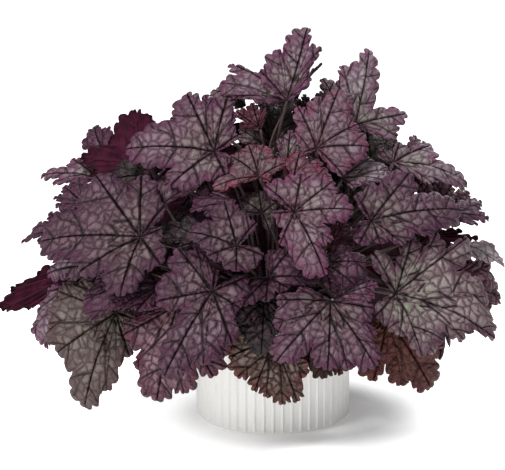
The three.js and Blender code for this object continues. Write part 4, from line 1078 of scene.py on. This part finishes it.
def add_blade(leaf):
    """A leaf blade with its veins sunk, its panels raised and its margin curled and waved."""
    halves = half_lobes(leaf)
    plan = np.concatenate([half.grid.reshape(-1, 2) for half in halves])
    quilt = np.concatenate([half.quilt.ravel() for half in halves])
    faces = []
    first = 0
    for half in halves:
        faces += half.faces(first).tolist()
        first += half.quilt.size
    veins, sides, margins = blade_lines(leaf, halves)
    rib = distances(plan, veins)
    side = distances(plan, sides)
    edge = distances(plan, margins)
    heart = np.hypot(*plan.T) / leaf.reach

    size = min(1, leaf.reach / RELIEF_REACH)
    wave = np.sin(leaf.draw(*EDGE_WAVES) * np.arctan2(*plan.T) + leaf.draw(*EDGE_WAVE_PHASE))
    wave *= EDGE_WAVE * np.exp(-edge / EDGE_WAVE_WIDTH)
    lift = QUILT * size * quilt - GROOVE * size * np.exp(-((rib / GROOVE_WIDTH) ** 2))
    lift += heart * size * (wave - CURL * np.exp(-edge / CURL_WIDTH))
    mesh = bpy.data.meshes.new(leaf.node)
    mesh.from_pydata((leaf.junction + leaf.placed(plan, lift)) * MM, [], faces)
    fineness = size**0.5
    rib_width = lerp(*VEIN_WIDTHS, np.minimum(1, heart))
    side_width = lerp(*SIDE_VEIN_WIDTHS, np.minimum(1, edge / SIDE_VEIN_FADE))
    attributes = {
        "rib": rib / rib_width / fineness,
        "side": side / side_width / fineness,
        "edge": edge / fineness,
        "heart": heart,
    }
    for name, values in attributes.items():
        mesh.attributes.new(name, "FLOAT", "POINT").data.foreach_set("value", values)
    corners = np.zeros(len(mesh.loops), int)
    mesh.loops.foreach_get("vertex_index", corners)
    start = np.array([leaf.draw(*PLAN_START), leaf.draw(*PLAN_START)])
    uvs = plan[corners] / PLAN_UNIT + start
    mesh.uv_layers.new(name=PLAN_MAP).data.foreach_set("uv", uvs.ravel())
    blade = bpy.data.objects.new(leaf.node, mesh)
    bpy.context.collection.objects.link(blade)
    select_only(blade)
    edit_all(bpy.ops.mesh.remove_doubles, threshold=DOUBLES)
    blade.data.materials.append(finish_for(leaf.tone))
    blade.data.materials.append(finish_for("underside"))
    bpy.ops.object.modifier_add(type="SOLIDIFY")
    solidify = blade.modifiers[-1]
    solidify.thickness = BLADE_THICKNESS
    solidify.offset = 0
    solidify.material_offset = 1
    bpy.ops.object.modifier_apply(modifier=solidify.name)
    bpy.ops.object.shade_smooth()
    return blade


# ---- stalks

# A face of a node's solid is part of a blade if it lies this close to the blade's middle, in millimetres,
# or if it lies fairly close and faces as the blade does, and no further out than this share of the reach.
BLADE_SLAB = 0.8
BLADE_NEAR = 6
BLADE_FACING = 0.7
BLADE_BEYOND = 1.15
# How far a stalk is swollen, in metres, and how often its mesh is rounded.
STALK_SWELL = 0.0006
STALK_ROUNDING = 2


def blade_faces(mesh, leaf):
    """Which faces of a node's mesh belong to a leaf's blade."""
    offset = np.array([vertex.co for vertex in mesh.vertices]) / MM - leaf.junction
    plan = np.stack([offset @ leaf.across, offset @ leaf.along], 1)
    gap = np.abs(offset @ leaf.normal - leaf.height(plan))
    gap[np.hypot(*plan.T) > BLADE_BEYOND * leaf.reach] = math.inf
    flags = []
    for face in mesh.polygons:
        most = gap[list(face.vertices)].max()
        along_blade = abs(np.array(face.normal) @ leaf.normal) > BLADE_FACING
        flags.append(most < BLADE_SLAB or (most < BLADE_NEAR and along_blade))
    return np.array(flags)


def add_stalks(node, leaves):
    """The node's stalks, rounded: its solid without the blades."""
    source = frame["nodes"][node]
    stalks = source.copy()
    stalks.data = source.data.copy()
    stalks.parent = None
    for key in list(stalks.keys()):
        del stalks[key]
    bpy.context.collection.objects.link(stalks)
    stalks.hide_render = False
    stalks.hide_viewport = False
    select_only(stalks)
    edit_all(bpy.ops.mesh.remove_doubles, threshold=DOUBLES)
    in_blade = np.any([blade_faces(stalks.data, leaf) for leaf in leaves], axis=0)
    for face, flag in zip(stalks.data.polygons, in_blade):
        face.select = bool(flag)
    bpy.ops.object.mode_set(mode="EDIT")
    bpy.ops.mesh.select_mode(type="FACE")
    bpy.ops.mesh.delete(type="FACE")
    bpy.ops.object.mode_set(mode="OBJECT")
    edit_all(bpy.ops.mesh.tris_convert_to_quads)
    stalks.data.materials.clear()
    stalks.data.materials.append(finish_for("stalk"))
    bpy.ops.object.modifier_add(type="SUBSURF")
    stalks.modifiers[-1].levels = STALK_ROUNDING
    bpy.ops.object.modifier_apply(modifier=stalks.modifiers[-1].name)
    edit_all(bpy.ops.mesh.fill_holes, sides=0)
    edit_all(bpy.ops.transform.shrink_fatten, value=STALK_SWELL)
    bpy.ops.object.shade_smooth()
    return stalks


def add_leaf_nodes():
    """One piece for each leaf node: its blades and its stalks."""
    slots = {part["node"]: part["material_slot"] for part in frame["record"]["subparts"]}
    nodes = {}
    for leaf in all_leaves():
        nodes.setdefault(leaf.node, []).append(leaf)
    for node, leaves in nodes.items():
        blades = [add_blade(leaf) for leaf in leaves]
        stalks = add_stalks(node, leaves)
        select_only(*blades, stalks)
        bpy.ops.object.join()
        piece = bpy.context.object
        piece.name = node + "_blade"
        finish_piece(piece, node, slots[node])


# ---- the pot and what is in it

def turned_solid(name, sides, profile):
    """A solid on the upright axis, drawn up from a disc along a profile of radius and height."""
    radius, height = profile[0]
    bpy.ops.object.select_all(action="DESELECT")
    bpy.ops.mesh.primitive_circle_add(vertices=sides, radius=radius, location=(0, 0, height))
    solid = bpy.context.object
    solid.name = name
    bpy.ops.object.transform_apply()
    bpy.ops.object.mode_set(mode="EDIT")
    bpy.ops.mesh.select_mode(type="EDGE")
    bpy.ops.mesh.select_all(action="SELECT")
    bpy.ops.mesh.edge_face_add()
    bpy.ops.mesh.select_all(action="SELECT")
    bpy.ops.mesh.region_to_loop()
    for new_radius, new_height in profile[1:]:
        rise = {"value": (0, 0, new_height - height)}
        bpy.ops.mesh.extrude_edges_move(TRANSFORM_OT_translate=rise)
        share = new_radius / radius
        bpy.ops.transform.resize(value=(share, share, 1), center_override=(0, 0, new_height))
        radius, height = new_radius, new_height
    bpy.ops.mesh.edge_face_add()
    bpy.ops.mesh.select_all(action="SELECT")
    bpy.ops.mesh.normals_make_consistent(inside=False)
    bpy.ops.object.mode_set(mode="OBJECT")
    return solid


# From here on, sizes are in metres. Edges that turn by more than the sharp angles stay sharp.
POT_SHARP = 40 * DEGREE
CRUMB_SHARP = 50 * DEGREE
POT_RADIUS = 0.08
POT_HEIGHT = 0.135
POT_WALL = 0.005
POT_FLOOR = 0.008
POT_FOOT_RADIUS = 0.077
POT_FOOT = 0.003
# The discs in the middle of the underside and of the floor inside.
UNDER_DISC = 0.035
FLOOR_DISC = 0.02
# Edges are steps back and up from the corner that they round, in order up the outside.
FOOT_EDGE = [(0.0025, 0), (0.0006, 0.0006), (0, 0.0018)]
WALL_EDGE = [(0.0007, 0), (0.0002, 0.0006), (0, 0.002)]
RECESS = 0.0002
FLOOR_EDGE = 0.003
FLUTES = 52
FLUTE_DEPTH = 0.0016
FLUTE_STEPS = 14
# A ridge takes this share of half the way from crest to crest.
RIDGE_SHARE = 0.42
# The lip's size, where the straight wall ends below it, and its edges in shares of its size.
LIP = 0.0012
LIP_DROP = 0.003
LIP_OUTSIDE = [(0, 1), (0.4, 0.3), (1.4, 0)]
LIP_INSIDE = [(1, 0), (0.3, 0.3), (0, 1)]


def flute(angle):
    """How far a ridge stands back at an angle round the pot, from 0 on a crest to 1 in a flute."""
    share = abs((angle / (2 * math.pi) * FLUTES + 0.5) % 1 - 0.5) * 2
    return math.sin(math.pi / 2 * min(1, share / RIDGE_SHARE)) ** 2


def add_pot():
    """The ribbed pot: a foot ring, a fluted wall, a rounded lip and a smooth inside."""
    inner = POT_RADIUS - POT_WALL
    profile = [(UNDER_DISC, 0)]
    profile += [(POT_FOOT_RADIUS - back, up) for back, up in FOOT_EDGE]
    profile += [(POT_FOOT_RADIUS + RECESS, POT_FOOT - RECESS)]
    profile += [(POT_RADIUS - back, POT_FOOT + up) for back, up in WALL_EDGE]
    profile += [(POT_RADIUS, POT_HEIGHT - LIP_DROP)]
    profile += [(POT_RADIUS - LIP * back, POT_HEIGHT - LIP * down) for back, down in LIP_OUTSIDE]
    profile += [(inner + LIP * out, POT_HEIGHT - LIP * down) for out, down in LIP_INSIDE]
    profile += [(inner, POT_FLOOR + FLOOR_EDGE), (inner - FLOOR_EDGE, POT_FLOOR), (FLOOR_DISC, POT_FLOOR)]
    pot = turned_solid("pot_ribbed", FLUTES * FLUTE_STEPS, profile)
    for vertex in pot.data.vertices:
        reach = math.hypot(vertex.co.x, vertex.co.y)
        if reach > POT_RADIUS - LIP and vertex.co.z > POT_FOOT:
            share = 1 - FLUTE_DEPTH * flute(math.atan2(vertex.co.y, vertex.co.x)) / reach
            vertex.co.x *= share
            vertex.co.y *= share
    pot.data.materials.append(pot_finish())
    bpy.ops.object.shade_smooth_by_angle(angle=POT_SHARP)
    finish_piece(pot, "pot", "pot_ceramic")


SOIL_RINGS = 26
SOIL_SIDES = 96
SOIL_ROUGHNESS = 0.0016
SOIL_CRUMBLING = 190


def add_soil():
    """The potting mix: a crumbly top in the pot."""
    low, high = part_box("soil")
    radius = high.x
    top = high.z - SOIL_ROUGHNESS
    rings = [(radius * ring / SOIL_RINGS, top) for ring in range(SOIL_RINGS, 0, -1)]
    soil = turned_solid("potting_mix", SOIL_SIDES, [(radius, low.z), *rings])
    for vertex in soil.data.vertices:
        inside = math.hypot(vertex.co.x, vertex.co.y) < radius - SOIL_ROUGHNESS
        if inside and vertex.co.z > low.z + SOIL_ROUGHNESS:
            vertex.co.z += SOIL_ROUGHNESS * noise.noise(vertex.co * SOIL_CRUMBLING)
    soil.data.materials.append(soil_finish())
    bpy.ops.object.shade_smooth_by_angle(angle=CRUMB_SHARP)
    finish_piece(soil, "soil", "potting_mix")


CROWN_SEGMENTS = 72
CROWN_RINGS = 48
CROWN_KNOBS = 0.0014
CROWN_KNOBBLING = 160


def add_crown():
    """The rootstock: a knobbly dome that the stalks grow from."""
    low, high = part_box("crown")
    bpy.ops.object.select_all(action="DESELECT")
    grid = {"segments": CROWN_SEGMENTS, "ring_count": CROWN_RINGS}
    bpy.ops.mesh.primitive_uv_sphere_add(**grid, radius=1, location=(0, 0, low.z))
    crown = bpy.context.object
    crown.name = "rootstock"
    crown.scale = (high.x - CROWN_KNOBS, high.x - CROWN_KNOBS, high.z - low.z - CROWN_KNOBS)
    bpy.ops.object.transform_apply()
    cut = {"plane_co": (0, 0, low.z), "plane_no": (0, 0, 1), "clear_inner": True, "use_fill": True}
    edit_all(bpy.ops.mesh.bisect, **cut)
    for vertex in crown.data.vertices:
        if vertex.co.z > low.z + CROWN_KNOBS:
            vertex.co += vertex.normal * CROWN_KNOBS * noise.noise(vertex.co * CROWN_KNOBBLING)
    crown.data.materials.append(wood_finish())
    bpy.ops.object.shade_smooth_by_angle(angle=CRUMB_SHARP)
    finish_piece(crown, "crown", "rootstock")


add_camera()
add_studio()
add_pot()
add_soil()
add_crown()
add_leaf_nodes()

sizes = {"cad": cad_box, "visual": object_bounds()}
{name: [list(corner) for corner in box] for name, box in sizes.items()}
